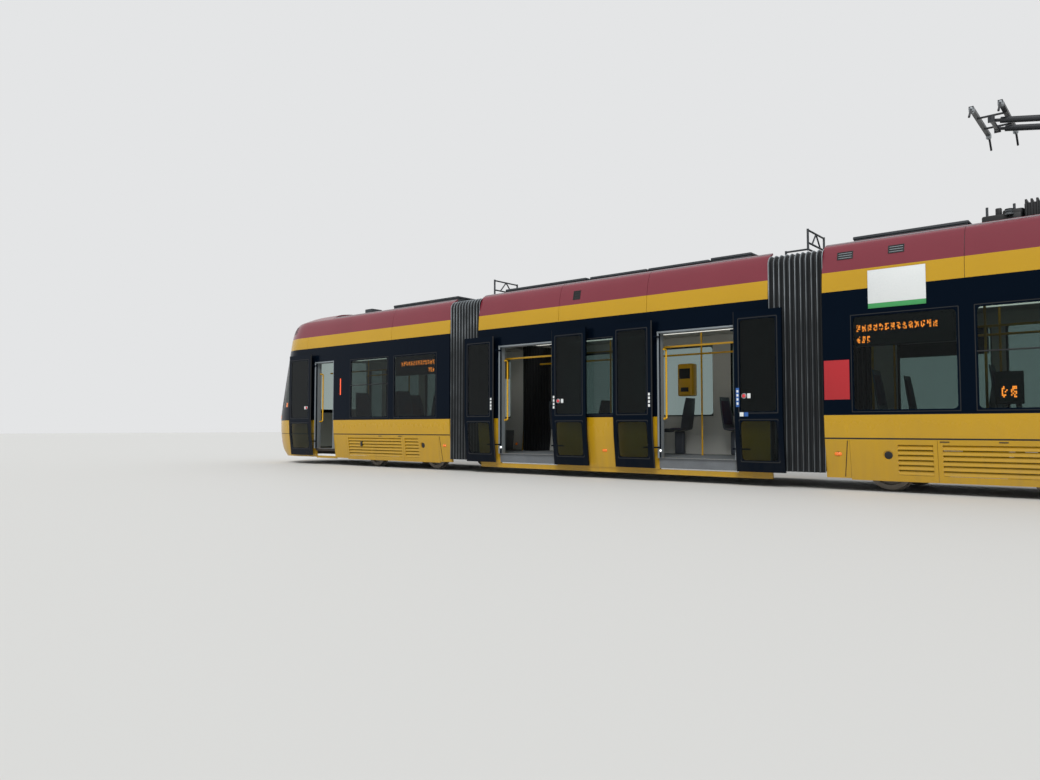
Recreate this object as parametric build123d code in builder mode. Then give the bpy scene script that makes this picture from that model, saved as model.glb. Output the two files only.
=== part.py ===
"""Three-section articulated low-floor tram, standing at a stop with its doors open.

X runs along the tram with the driving cab at +X, the doors are on its -Y side, and Z is up.
The origin is midway along the tram, on its centre line, level with the wheel flanges' lowest point.
Heights in the tables and in `block` are above the rail head; lengths "from the face" are from the
inner end face of an end section towards the tram's tip.
"""
import os
from collections import namedtuple

from build123d import *

os.makedirs("parts", exist_ok=True)

# Track and wheels, mm
GAUGE = 1435
FLANGE_DEPTH = 22
WHEEL_R = 300
WHEEL_WIDTH = 112
FLANGE_WIDTH = 24
FLANGE_PLAY = 5
WHEELBASE = 1900
RAIL = FLANGE_DEPTH
AXLE_Z = WHEEL_R

# Lengths, mm
MIDDLE_HALF = 2880
GAP = 780
FACE = MIDDLE_HALF + GAP
PIVOT_X = MIDDLE_HALF + GAP / 2
BOGIE_X = FACE + 1695
NOSE_SPLIT = 5380
CLEAR = 5

# Heights above the rail, mm
SKIRT_BOTTOM = 150
HATCH_BOTTOM = 130
STEP_BOTTOM = 190
FLOOR = 350
RAISED_FLOOR = 600
PODIUM = 780
GROOVE = 690
BELT = 1010
SILL = 1050
WINDOW_TOP = 2360
DOOR_TOP = 2380
CANT = 2710
BAND_TOP = 2985
DECK = 2960
CEILING = 2540
FAIRING_TOP = 3400

# Thicknesses and running gaps, mm
WALL = 50
FLOOR_PLATE = 50
DECK_PLATE = 60
CEILING_PLATE = 30
GLASS = 8
GLASS_INSET = 6
SEAT_GAP = 0.3
BAR_SIDES = 8

# Doors, mm
LEAF_THICK = 40
LEAF_STANDOFF = 85
LEAF_TOP = 2550
LEAF_FRAME = 70
POST_R = 20
POST_Y = -1130
LEAF_ARMS = (520, 2290)
ARM = 12
ARM_REACH = 260

# Body levels: height, half width, nose tip and end of the straight side, both from the face
Level = namedtuple("Level", "z half tip side")
LEVELS = [
    Level(HATCH_BOTTOM, 1092, 6230, 5380),
    Level(320, 1115, 6440, 5380),
    Level(GROOVE, 1160, 6500, 5380),
    Level(BELT, 1175, 6500, 5380),
    Level(1180, 1175, 6490, 5380),
    Level(CANT, 1175, 6090, 5180),
    Level(BAND_TOP, 1160, 6060, 5050),
    Level(3250, 1105, 5960, 5000),
    Level(3360, 1050, 5860, 4950),
    Level(FAIRING_TOP, 985, 5740, 4900),
    Level(3490, 800, 5450, 4500),
    Level(3530, 450, 5000, 4000),
]
NOSE_BOW = 0.22
NOSE_INSET = 0.21
WIDE = 1400
BODY_Y = (-WIDE, WIDE)

# Windows, as lengths from the face, and the driver's side windows in the nose
Opening = namedtuple("Opening", "start end bottom top")
END_WINDOWS = [
    Opening(380, 1680, SILL, WINDOW_TOP),
    Opening(1860, 3150, SILL, WINDOW_TOP),
]
FAR_WINDOWS = END_WINDOWS + [
    Opening(3400, 4640, SILL, WINDOW_TOP),
    Opening(4800, 5300, SILL, WINDOW_TOP),
]
END_DOOR = Opening(3760, 4500, FLOOR, DOOR_TOP)
END_LEAF_WIDE = 840
CORNER_WINDOW = [(5440, 1330), (6020, 1330), (5820, 2560), (5440, 2560)]
SCREEN = Opening(5400, 6600, 1235, 2945)
SCREEN_HALF = 885

# The middle section's openings along X
MIDDLE_DOORS = [Opening(-2370, -1030, FLOOR, DOOR_TOP), Opening(1030, 2370, FLOOR, DOOR_TOP)]
MIDDLE_WINDOWS = [Opening(-880, 880, SILL, WINDOW_TOP)]
MIDDLE_FAR_WINDOWS = [
    Opening(-2600, -1230, SILL, WINDOW_TOP),
    Opening(-880, 880, SILL, WINDOW_TOP),
    Opening(1230, 2600, SILL, WINDOW_TOP),
]
MIDDLE_LEAF_WIDE = 720
LEAF_OVERLAP = 35

# Skirt hatches: from the face, with the louvred stretch of each
Hatch = namedtuple("Hatch", "start end louvre_start louvre_end")
HATCHES = [Hatch(330, 1400, 930, 1350), Hatch(1404, 3300, 1460, 3240)]
HATCH_THICK = 25
HATCH_TOP = GROOVE - 20
LOUVRES = 6
LOUVRE_PITCH = 66
LOUVRE_START = 215
LOUVRE_LAP = 4
PEEPHOLE = (810, 470, 70)

# Floors, pivots and the raised stretch over the bogie
DISC_R = 620
RISER_START = FACE + 260
RISER_END = FACE + 3420
FLOOR_END = FACE + 6050
AISLE_HALF = 500
PIVOT_PIN_R = 60
TONGUE = (190, 250)
TONGUE_LEAD = 130
TONGUE_HALF = 150
SILL_BEAM_Y = (300, 380)
BOGIE_PIN_R = 90
BOGIE_PIN_Z = 430

# Tow socket in the bumper: a bored tube held by the underframe
TOW_Z = 600
TOW_BORE_R = 30
TOW_R = 55
TOW_POCKET_R = 70
TOW_BACK = FACE + 6310
TOW_MOUTH = FACE + 6480

# Roof: the tray between the fairings, and the duct over the ceiling
TRAY_HALF = 935
TRAY_END = FACE + 4050
DUCT_HALF = 900
SLOTS = 5
SLOT_START = 5450
SLOT_PITCH = 68
SLOT_WIDE = 28
SLOT_Z = (3110, 3290)
SLOT_Y = 650

# Bogies
BEAM_Y = (875, 955)
BEAM_Z = (210, 400)
BEAM_HALF = 1180
TRANSOM_HALF = 190
MOTOR_R = 165
MOTOR_X = 480
AXLE_R = 65
JOURNAL_R = 50

# Pantograph, at its working height
PANTO_FOOT = (6120, 3620)
PANTO_KNEE = (8300, 4440)
PANTO_HEAD = (5620, 4960)
STRIP_Z = 5050
STRIP_PITCH = 330
STRIP_STRAIGHT = 1300
STRIP_HALF = 800

# Bellows
FOLDS = 11
FOLD_DEPTH = 38
BELLOWS_WALL = 14
BELLOWS_HALF = 1150
BELLOWS_Z = (210, 3370)
BELLOWS_OPEN = 1065


def half_at(z):
    """Half width of the body at a height, straight between the levels."""
    for low, high in zip(LEVELS, LEVELS[1:]):
        if low.z <= z <= high.z:
            return low.half + (high.half - low.half) * (z - low.z) / (high.z - low.z)
    return LEVELS[0].half


def block(x, y, z, mode=Mode.ADD):
    """A box between two values on each axis, added to the piece being built."""
    with Locations((sum(x) / 2, sum(y) / 2, sum(z) / 2 + RAIL)):
        Box(x[1] - x[0], y[1] - y[0], z[1] - z[0], mode=mode)


def rod(start, end, radius, mode=Mode.ADD, sides=0):
    """A round bar between two points, with heights above the rail; thin repeated ones have flat sides."""
    a = Vector(*start) + Vector(0, 0, RAIL)
    b = Vector(*end) + Vector(0, 0, RAIL)
    with BuildSketch(Plane(origin=a, z_dir=b - a)) as section:
        if sides:
            RegularPolygon(radius, sides)
        else:
            Circle(radius)
    extrude(section.sketch, amount=(b - a).length, mode=mode)


def strip(x, z, skins, side, mode=Mode.ADD):
    """A length of one body wall between two skins, counted inwards from its outer face."""
    heights = [z[0]] + [row.z for row in LEVELS if z[0] < row.z < z[1]] + [z[1]]
    outer = [(side * (half_at(h) - skins[0]), h + RAIL) for h in heights]
    inner = [(side * (half_at(h) - skins[1]), h + RAIL) for h in reversed(heights)]
    with BuildSketch(Plane.YZ.offset(x[0])) as section:
        with BuildLine():
            Polyline(*outer, *inner, close=True)
        make_face()
    extrude(section.sketch, amount=x[1] - x[0], mode=mode)


def end_x(opening):
    """An opening's two ends along X on the front section."""
    return (FACE + opening.start, FACE + opening.end)


def envelope(skin, curved=True):
    """The front section's form, drawn in by one skin: plan outlines lofted from level to level.

    An outline is two straight sides, an arc towards each corner and an arc across the nose. The hidden inner
    form has two chords in place of each arc.
    """
    with BuildPart() as body:
        for row in LEVELS:
            y = row.half - skin
            nose = FACE + row.tip - skin
            corner_x = nose - NOSE_BOW * row.half
            corner_y = y - NOSE_INSET * row.half
            straight = FACE + row.side
            with BuildLine(mode=Mode.PRIVATE) as arcs:
                flank = TangentArc((straight, y), (corner_x, corner_y), tangent=(1, 0))
                brow = ThreePointArc((corner_x, corner_y), (nose, 0), (corner_x, -corner_y))
            with BuildSketch(Plane.XY.offset(RAIL + row.z)):
                with BuildLine():
                    Polyline((straight, -y), (FACE, -y), (FACE, y), (straight, y))
                    if curved:
                        add(arcs.line)
                        mirror(flank, about=Plane.XZ)
                    else:
                        bend, shoulder = flank @ 0.5, brow @ 0.25
                        Polyline((straight, y), bend, (corner_x, corner_y), shoulder, (nose, 0),
                                 (shoulder.X, -shoulder.Y), (corner_x, -corner_y), (bend.X, -bend.Y),
                                 (straight, -y))
                make_face()
        loft(ruled=True)
    return body.part


def side_profile(points, y, mode=Mode.ADD):
    """A form with one outline seen from the side, between two places across the tram."""
    with BuildSketch(Plane.XZ.offset(-y[1])) as outline:
        with BuildLine():
            Polyline(*[(px, pz + RAIL) for px, pz in points], close=True)
        make_face()
    extrude(outline.sketch, amount=y[1] - y[0], mode=mode)


def room(x, z, skin, mode=Mode.ADD):
    """A length of the body's inside, full width, drawn in by one skin from its outer face."""
    heights = [z[0]] + [row.z for row in LEVELS if z[0] < row.z < z[1]] + [z[1]]
    right = [(half_at(h) - skin, h + RAIL) for h in heights]
    left = [(-y, h) for y, h in reversed(right)]
    with BuildSketch(Plane.YZ.offset(x[0])) as section:
        with BuildLine():
            Polyline(*right, *left, close=True)
        make_face()
    extrude(section.sketch, amount=x[1] - x[0], mode=mode)


def leaf(x, post_x, toward):
    """One door leaf standing open outside the wall, on two arms from its post in the doorway."""
    outer = -(LEAF_STANDOFF + LEAF_THICK)
    strip(x, (STEP_BOTTOM, LEAF_TOP), (outer, -LEAF_STANDOFF), -1)
    for pane in leaf_panes(x):
        strip(pane[0], pane[1], (outer - 1, 1 - LEAF_STANDOFF), -1, mode=Mode.SUBTRACT)
    rod((post_x, POST_Y, FLOOR), (post_x, POST_Y, DOOR_TOP), POST_R, sides=BAR_SIDES)
    for z in LEAF_ARMS:
        y = -half_at(z) - LEAF_STANDOFF
        block((post_x - ARM, post_x + ARM), (y, POST_Y), (z - ARM, z + ARM))
        reach = (post_x - ARM, post_x + toward * ARM_REACH)
        block((min(reach), max(reach)), (y - 2, y + ARM), (z - ARM, z + ARM))


def leaf_panes(x):
    """The places of a leaf's two panes: along X, and in height."""
    along = (x[0] + LEAF_FRAME, x[1] - LEAF_FRAME)
    return [(along, (SILL, LEAF_TOP - 110)), (along, (STEP_BOTTOM + 150, BELT - 60))]


def leaf_glass(x):
    """Both panes of a leaf, near its outer face."""
    outer = -(LEAF_STANDOFF + LEAF_THICK) + GLASS_INSET
    for along, height in leaf_panes(x):
        strip(along, height, (outer, outer + GLASS), -1)


def seat(x, y, facing, base, pan):
    """A passenger seat: one bent shell on a foot, facing one way along the tram."""
    shell_points = [(-40, 0), (400, 0), (430, 30), (420, 60), (60, 60), (-30, 640), (-80, 640), (-85, 600)]
    side_profile([(x + facing * px, pan - 60 + pz) for px, pz in shell_points], (y - 215, y + 215))
    foot = sorted((x + facing * 90, x + facing * 290))
    block(foot, (y - 60, y + 60), (base, pan - 60))


def save(piece, name):
    """Labels a finished piece and writes it."""
    piece.part.label = name
    export_step(piece.part, f"parts/{name}.step")


def save_both_ends(piece, name):
    """Writes a front piece, and its mirror image for the rear section."""
    save(piece, f"front_{name}")
    with BuildPart() as rear:
        mirror(piece.part, about=Plane.YZ)
    save(rear, f"rear_{name}")


# The end sections' forms, and the skin of glass within their wall
NOSE_X = FACE + NOSE_SPLIT
TIP_X = FACE + 6500
SIDE_X = (FACE, NOSE_X)
NOSE_RANGE = (NOSE_X, TIP_X + WALL)
CROWN = LEVELS[-1].z
outer_form = envelope(0)
inner_form = envelope(WALL, curved=False)
glass_form = envelope(GLASS_INSET)
glass_core = envelope(GLASS_INSET + GLASS)

with BuildPart() as inner_room:
    add(inner_form)
    block((0, 2 * TIP_X), BODY_Y, (CROWN - WALL, 2 * CROWN), mode=Mode.SUBTRACT)

with BuildPart() as shell:
    add(outer_form)
    add(inner_room.part, mode=Mode.SUBTRACT)

with BuildPart() as window_cutters:
    for window in END_WINDOWS:
        block(end_x(window), (-WIDE, -1000), (window.bottom, window.top))
    for window in FAR_WINDOWS:
        block(end_x(window), (1000, WIDE), (window.bottom, window.top))

with BuildPart() as corner_cutters:
    corner = [(FACE + x, z) for x, z in CORNER_WINDOW]
    side_profile(corner, (700, WIDE))
    side_profile(corner, (-WIDE, -700))

with BuildPart() as screen_cutter:
    block(end_x(SCREEN), (-SCREEN_HALF, SCREEN_HALF), (SCREEN.bottom, SCREEN.top))

with BuildPart() as lamp_cutters:
    for y in (-700, -560, 560, 700):
        rod((TIP_X - 600, y, 1095), (TIP_X + 50, y, 1095), 58)
    for side in (-1, 1):
        rod((FACE + 170, side * 1000, 476), (FACE + 170, side * WIDE, 476), 32)

# Walls of an end section
with BuildPart() as lower_walls:
    for side in (-1, 1):
        strip(SIDE_X, (SKIRT_BOTTOM, BELT), (0, WALL), side)
    block(end_x(END_DOOR), (-WIDE, 0), (0, BELT + 1), mode=Mode.SUBTRACT)
    hatch_x = (FACE + HATCHES[0].start - 3, FACE + HATCHES[-1].end + 3)
    block(hatch_x, BODY_Y, (0, HATCH_TOP + 3), mode=Mode.SUBTRACT)
    for side in (-1, 1):
        strip(SIDE_X, (GROOVE - 6, GROOVE + 6), (-1, 8), side, mode=Mode.SUBTRACT)
        strip(end_x(END_DOOR), (HATCH_BOTTOM, SKIRT_BOTTOM + 30), (10, WALL), -1)
    add(lamp_cutters.part, mode=Mode.SUBTRACT)
save_both_ends(lower_walls, "lower_walls")

with BuildPart() as hatches:
    for side in (-1, 1):
        for hatch in HATCHES:
            hatch_x = (FACE + hatch.start, FACE + hatch.end)
            strip(hatch_x, (HATCH_BOTTOM, HATCH_TOP + 3), (0, HATCH_THICK), side)
            louvre_x = (FACE + hatch.louvre_start, FACE + hatch.louvre_end)
            louvre_top = LOUVRE_START + LOUVRES * LOUVRE_PITCH
            strip(louvre_x, (LOUVRE_START, louvre_top), (-1, HATCH_THICK + 1), side, mode=Mode.SUBTRACT)
            for i in range(LOUVRES):
                z = LOUVRE_START + LOUVRE_LAP + i * LOUVRE_PITCH
                edge = half_at(z) - 1
                blade = [(edge, z), (edge, z + 12), (edge - 22, z + 58), (edge - 22, z + 46)]
                with BuildSketch(Plane.YZ.offset(louvre_x[0] - LOUVRE_LAP)):
                    with BuildLine():
                        Polyline(*[(side * y, h + RAIL) for y, h in blade], close=True)
                    make_face()
                extrude(amount=louvre_x[1] - louvre_x[0] + 2 * LOUVRE_LAP)
        hole_x, hole_z, hole_r = PEEPHOLE
        hole = [(FACE + hole_x, side * y, hole_z) for y in (900, WIDE)]
        rod(*hole, hole_r, mode=Mode.SUBTRACT)
save_both_ends(hatches, "skirt_hatches")

with BuildPart() as upper_walls:
    add(shell.part)
    block(SIDE_X, BODY_Y, (BELT, CANT), mode=Mode.INTERSECT)
    block(end_x(END_DOOR), (-WIDE, 0), (0, DOOR_TOP), mode=Mode.SUBTRACT)
    add(window_cutters.part, mode=Mode.SUBTRACT)
save_both_ends(upper_walls, "upper_walls")

# Nose: the bumper with its raised centre panel, and the mask round the windscreen
CENTRE_PANEL = ((TIP_X - 500, TIP_X + 50), (-460, 460), (BELT, 1180))
with BuildPart() as bumper_zone:
    block(NOSE_RANGE, BODY_Y, (0, BELT))
    block(*CENTRE_PANEL)

with BuildPart() as bumper:
    add(shell.part)
    add(bumper_zone.part, mode=Mode.INTERSECT)
    block(NOSE_RANGE, BODY_Y, (0, SKIRT_BOTTOM), mode=Mode.SUBTRACT)
    rod((TOW_BACK, 0, TOW_Z), (TIP_X + WALL, 0, TOW_Z), TOW_R + SEAT_GAP, mode=Mode.SUBTRACT)
    rod((TOW_MOUTH, 0, TOW_Z), (TIP_X + WALL, 0, TOW_Z), TOW_POCKET_R, mode=Mode.SUBTRACT)
save_both_ends(bumper, "bumper")

with BuildPart() as mask:
    add(shell.part)
    block(NOSE_RANGE, BODY_Y, (BELT, CANT), mode=Mode.INTERSECT)
    block(*CENTRE_PANEL, mode=Mode.SUBTRACT)
    add(corner_cutters.part, mode=Mode.SUBTRACT)
    add(screen_cutter.part, mode=Mode.SUBTRACT)
    add(lamp_cutters.part, mode=Mode.SUBTRACT)
save_both_ends(mask, "nose_mask")

with BuildPart() as lamps:
    add(shell.part)
    add(lamp_cutters.part, mode=Mode.INTERSECT)
save_both_ends(lamps, "lamps")

# Roof of an end section: fairings, cap, deck and the duct down to the ceiling
with BuildPart() as end_inside:
    block((FACE, FLOOR_END - 400), BODY_Y, (DECK - DECK_PLATE, DECK))
    block((FACE, FLOOR_END - 900), BODY_Y, (CEILING, CEILING + CEILING_PLATE))
    for side in (-1, 1):
        y = sorted((side * DUCT_HALF, side * (DUCT_HALF + 40)))
        block((FACE, FLOOR_END - 900), y, (CEILING, DECK))
    add(inner_room.part, mode=Mode.INTERSECT)

with BuildPart() as end_roof:
    add(shell.part)
    block((0, 2 * TIP_X), BODY_Y, (CANT, 2 * CROWN), mode=Mode.INTERSECT)
    block((FACE - 1, TRAY_END), (-TRAY_HALF, TRAY_HALF), (DECK, 2 * CROWN), mode=Mode.SUBTRACT)
    add(end_inside.part)
    add(screen_cutter.part, mode=Mode.SUBTRACT)
    for i in range(SLOTS):
        x = FACE + SLOT_START + i * SLOT_PITCH
        for side in (-1, 1):
            y = sorted((side * SLOT_Y, side * WIDE))
            block((x, x + SLOT_WIDE), y, SLOT_Z, mode=Mode.SUBTRACT)
save_both_ends(end_roof, "roof")

# Door leaf and glass of an end section
leaf_x = (FACE + END_DOOR.end - 10, FACE + END_DOOR.end - 10 + END_LEAF_WIDE)
with BuildPart() as end_leaf:
    leaf(leaf_x, FACE + END_DOOR.end - 25, 1)
save_both_ends(end_leaf, "door_leaf")

with BuildPart() as end_glass:
    for side, windows in ((-1, END_WINDOWS), (1, FAR_WINDOWS)):
        for window in windows:
            strip(end_x(window), (window.bottom, window.top), (GLASS_INSET, GLASS_INSET + GLASS), side)
    leaf_glass(leaf_x)
save_both_ends(end_glass, "glazing")

with BuildPart() as nose_panes:
    add(corner_cutters.part)
    add(screen_cutter.part)

with BuildPart() as windscreen:
    add(glass_form)
    add(glass_core, mode=Mode.SUBTRACT)
    add(nose_panes.part, mode=Mode.INTERSECT)
save_both_ends(windscreen, "windscreen")

# Underframe of an end section: low at the pivot and the door, raised over the bogie
with BuildPart() as underframe:
    low = (FLOOR - FLOOR_PLATE, FLOOR)
    block((FACE, RISER_START + FLOOR_PLATE), BODY_Y, low)
    block((RISER_END - FLOOR_PLATE, FLOOR_END), BODY_Y, low)
    aisle_y = (-AISLE_HALF, AISLE_HALF)
    block((RISER_START, RISER_END), aisle_y, (RAISED_FLOOR - FLOOR_PLATE, RAISED_FLOOR))
    for x in (RISER_START, RISER_END - FLOOR_PLATE):
        block((x, x + FLOOR_PLATE), aisle_y, (low[0], RAISED_FLOOR))
    for side in (-1, 1):
        sill = sorted((side * SILL_BEAM_Y[0], side * SILL_BEAM_Y[1]))
        block((RISER_END, FLOOR_END - 150), sill, (STEP_BOTTOM, low[0]))
    add(inner_room.part, mode=Mode.INTERSECT)
    rod((PIVOT_X, 0, low[0] - 1), (PIVOT_X, 0, FLOOR + 1), DISC_R + CLEAR, mode=Mode.SUBTRACT)
    block((PIVOT_X - TONGUE_LEAD, RISER_START + FLOOR_PLATE), (-TONGUE_HALF, TONGUE_HALF), TONGUE)
    block((RISER_START, RISER_START + FLOOR_PLATE), (-TONGUE_HALF, TONGUE_HALF), (TONGUE[0], low[0]))
    pivot_hole = ((PIVOT_X, 0, TONGUE[0] - 1), (PIVOT_X, 0, TONGUE[1] + 1))
    rod(*pivot_hole, PIVOT_PIN_R + SEAT_GAP, mode=Mode.SUBTRACT)
    rod((BOGIE_X, 0, BOGIE_PIN_Z), (BOGIE_X, 0, RAISED_FLOOR - FLOOR_PLATE), BOGIE_PIN_R)
    strip(end_x(END_DOOR), low, (3, WALL), -1)
    rod((TOW_BACK, 0, TOW_Z), (TOW_MOUTH, 0, TOW_Z), TOW_R)
    rod((TOW_BACK, 0, TOW_Z), (TOW_MOUTH, 0, TOW_Z), TOW_BORE_R, mode=Mode.SUBTRACT)
save_both_ends(underframe, "underframe")

# Podiums for the seats over the wheels: a top, a web beside the aisle and a wall at each end
with BuildPart() as podiums:
    for side in (-1, 1):
        edge = sorted((side * (AISLE_HALF + SEAT_GAP), side * WIDE))
        web = sorted((side * (AISLE_HALF + SEAT_GAP), side * (AISLE_HALF + FLOOR_PLATE)))
        block((RISER_START, RISER_END), edge, (PODIUM - FLOOR_PLATE, PODIUM))
        block((RISER_START, RISER_END), web, (RAISED_FLOOR - FLOOR_PLATE, PODIUM))
        for x, low_end in ((RISER_START, RISER_START + FLOOR_PLATE), (RISER_END - FLOOR_PLATE, RISER_END)):
            block((x, low_end), edge, (FLOOR + SEAT_GAP, PODIUM))
    add(inner_room.part, mode=Mode.INTERSECT)
save_both_ends(podiums, "podiums")

# The middle section
MIDDLE_X = (-MIDDLE_HALF, MIDDLE_HALF)
with BuildPart() as middle_floor:
    room(MIDDLE_X, (STEP_BOTTOM, FLOOR), WALL)
    for side in (-1, 1):
        rod((side * PIVOT_X, 0, FLOOR - FLOOR_PLATE), (side * PIVOT_X, 0, FLOOR), DISC_R)
        rod((side * PIVOT_X, 0, TONGUE[0] - 20), (side * PIVOT_X, 0, FLOOR), PIVOT_PIN_R)
    for door in MIDDLE_DOORS:
        strip((door.start, door.end), (STEP_BOTTOM, FLOOR), (3, WALL + 1), -1)
save(middle_floor, "middle_floor")

with BuildPart() as middle_lower:
    for side in (-1, 1):
        strip(MIDDLE_X, (STEP_BOTTOM - 20, BELT), (0, WALL), side)
    for door in MIDDLE_DOORS:
        block((door.start, door.end), (-WIDE, 0), (0, BELT + 1), mode=Mode.SUBTRACT)
    for side in (-1, 1):
        strip(MIDDLE_X, (90, STEP_BOTTOM - 20), (12, WALL), side)
save(middle_lower, "middle_lower_walls")

with BuildPart() as middle_cutters:
    for window in MIDDLE_WINDOWS:
        block((window.start, window.end), (-WIDE, -1000), (window.bottom, window.top))
    for window in MIDDLE_FAR_WINDOWS:
        block((window.start, window.end), (1000, WIDE), (window.bottom, window.top))

with BuildPart() as middle_upper:
    for side in (-1, 1):
        strip(MIDDLE_X, (BELT, CANT), (0, WALL), side)
    for door in MIDDLE_DOORS:
        block((door.start, door.end), (-WIDE, 0), (0, DOOR_TOP), mode=Mode.SUBTRACT)
    add(middle_cutters.part, mode=Mode.SUBTRACT)
save(middle_upper, "middle_upper_walls")

with BuildPart() as middle_roof:
    for side in (-1, 1):
        strip(MIDDLE_X, (CANT, FAIRING_TOP), (0, WALL), side)
        y = sorted((side * DUCT_HALF, side * (DUCT_HALF + 40)))
        block(MIDDLE_X, y, (CEILING, DECK))
    room(MIDDLE_X, (DECK - DECK_PLATE, DECK), WALL - 1)
    room(MIDDLE_X, (CEILING, CEILING + CEILING_PLATE), WALL)
save(middle_roof, "middle_roof")

middle_leaves = []
for door in MIDDLE_DOORS:
    low_edge = door.start - LEAF_OVERLAP
    high_edge = door.end + LEAF_OVERLAP
    middle_leaves.append(((low_edge - MIDDLE_LEAF_WIDE, low_edge), door.start + 25, -1))
    middle_leaves.append(((high_edge, high_edge + MIDDLE_LEAF_WIDE), door.end - 25, 1))

with BuildPart() as middle_doors:
    for x, post_x, toward in middle_leaves:
        leaf(x, post_x, toward)
save(middle_doors, "middle_door_leaves")

with BuildPart() as middle_glass:
    for side in (-1, 1):
        strip(MIDDLE_X, (SILL - 5, WINDOW_TOP + 5), (GLASS_INSET, GLASS_INSET + GLASS), side)
    add(middle_cutters.part, mode=Mode.INTERSECT)
    for x, post_x, toward in middle_leaves:
        leaf_glass(x)
save(middle_glass, "middle_glazing")

# Bellows: folds from frame to frame round the gangway, drawn as a ruled tube
def bellows_tube(inset):
    """A closed tube across the gap whose outline steps in and out at each fold."""
    with BuildPart() as tube:
        steps = 2 * FOLDS
        start = MIDDLE_HALF + SEAT_GAP
        pitch = (GAP - 2 * SEAT_GAP) / steps
        for i in range(steps + 1):
            depth = inset + FOLD_DEPTH * (i % 2)
            half = BELLOWS_HALF - depth
            z = (BELLOWS_Z[0] + RAIL + depth, BELLOWS_Z[1] + RAIL - depth)
            with BuildSketch(Plane.YZ.offset(start + i * pitch)):
                with Locations((0, (z[0] + z[1]) / 2)):
                    Rectangle(2 * half, z[1] - z[0])
        loft(ruled=True)
    return tube.part


bellows_outer = bellows_tube(0)
bellows_inner = bellows_tube(BELLOWS_WALL)
with BuildPart() as front_bellows:
    add(bellows_outer)
    add(bellows_inner, mode=Mode.SUBTRACT)
    block((MIDDLE_HALF, FACE), (-BELLOWS_OPEN, BELLOWS_OPEN), (0, FLOOR + 60), mode=Mode.SUBTRACT)
save(front_bellows, "front_bellows")
with BuildPart() as rear_bellows:
    mirror(front_bellows.part, about=Plane.YZ)
save(rear_bellows, "rear_bellows")

# Bogies
def bogie_frame(x):
    """A bogie frame: side beams outside the wheels, a transom, two motors and their springs."""
    with BuildPart() as frame:
        for side in (-1, 1):
            block((x - BEAM_HALF, x + BEAM_HALF), sorted((side * BEAM_Y[0], side * BEAM_Y[1])), BEAM_Z)
            for end in (-1, 1):
                spring_x = x + end * 330
                spring_y = side * sum(BEAM_Y) / 2
                top = PODIUM - FLOOR_PLATE - CLEAR
                rod((spring_x, spring_y, BEAM_Z[1]), (spring_x, spring_y, top), 60)
        block((x - TRANSOM_HALF, x + TRANSOM_HALF), (-BEAM_Y[1], BEAM_Y[1]), (240, 500))
        for end in (-1, 1):
            motor_x = x + end * MOTOR_X
            rod((motor_x, -460, 300), (motor_x, 460, 300), MOTOR_R)
            block(sorted((x, motor_x)), (-200, 200), (250, 350))
            axle_x = x + end * WHEELBASE / 2
            rod((axle_x, -WIDE, AXLE_Z), (axle_x, WIDE, AXLE_Z), JOURNAL_R + SEAT_GAP, mode=Mode.SUBTRACT)
        rod((x, 0, 420), (x, 0, 501), BOGIE_PIN_R + SEAT_GAP, mode=Mode.SUBTRACT)
    return frame


def wheelset(x):
    """Two flanged wheels on their axle, turned as one profile about the axle's line."""
    flange_y = GAUGE / 2 - FLANGE_PLAY
    back = flange_y - FLANGE_WIDTH
    face = back + WHEEL_WIDTH
    half_profile = [
        (0, 0), (0, AXLE_R), (back + 10, AXLE_R), (back + 10, 105), (back + 40, 105), (back + 40, 235),
        (back, 245), (back, WHEEL_R + FLANGE_DEPTH - 8), (back + 8, WHEEL_R + FLANGE_DEPTH),
        (back + 16, WHEEL_R + FLANGE_DEPTH), (flange_y, WHEEL_R + 4), (face, WHEEL_R), (face, 240),
        (back + 62, 232), (back + 62, 115), (face - 8, 105), (face - 8, AXLE_R), (BEAM_Y[0] - 8, AXLE_R),
        (BEAM_Y[0] - 8, JOURNAL_R), (BEAM_Y[1] - 5, JOURNAL_R), (BEAM_Y[1] - 5, 0),
    ]
    centre = Plane(origin=(x, 0, AXLE_Z + RAIL), x_dir=(0, 1, 0), z_dir=(1, 0, 0))
    with BuildPart() as wheels:
        with BuildSketch(centre):
            with BuildLine():
                Polyline(*half_profile, close=True)
            make_face()
            mirror(about=Plane.YZ)
        revolve(axis=Axis((x, 0, AXLE_Z + RAIL), (0, 1, 0)))
    return wheels


for end, side in (("rear", -1), ("front", 1)):
    bogie_x = side * BOGIE_X
    save(bogie_frame(bogie_x), f"{end}_bogie_frame")
    save(wheelset(bogie_x - side * WHEELBASE / 2), f"{end}_inner_wheelset")
    save(wheelset(bogie_x + side * WHEELBASE / 2), f"{end}_outer_wheelset")

# Seats and handrails
END_SEATS = [(FACE + 620, 1), (FACE + 1750, -1), (FACE + 2000, 1), (FACE + 3150, -1)]
MIDDLE_SEATS = [(-2520, 1), (-1280, -1), (-560, 1), (560, -1), (1280, 1), (2520, -1)]
with BuildPart() as end_seats:
    for x, facing in END_SEATS:
        for side in (-1, 1):
            seat(x, side * 810, facing, PODIUM, RAISED_FLOOR + 450)
save_both_ends(end_seats, "seats")

with BuildPart() as middle_seats:
    for x, facing in MIDDLE_SEATS:
        seat(x, 800, facing, FLOOR, FLOOR + 450)
save(middle_seats, "middle_seats")

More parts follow.
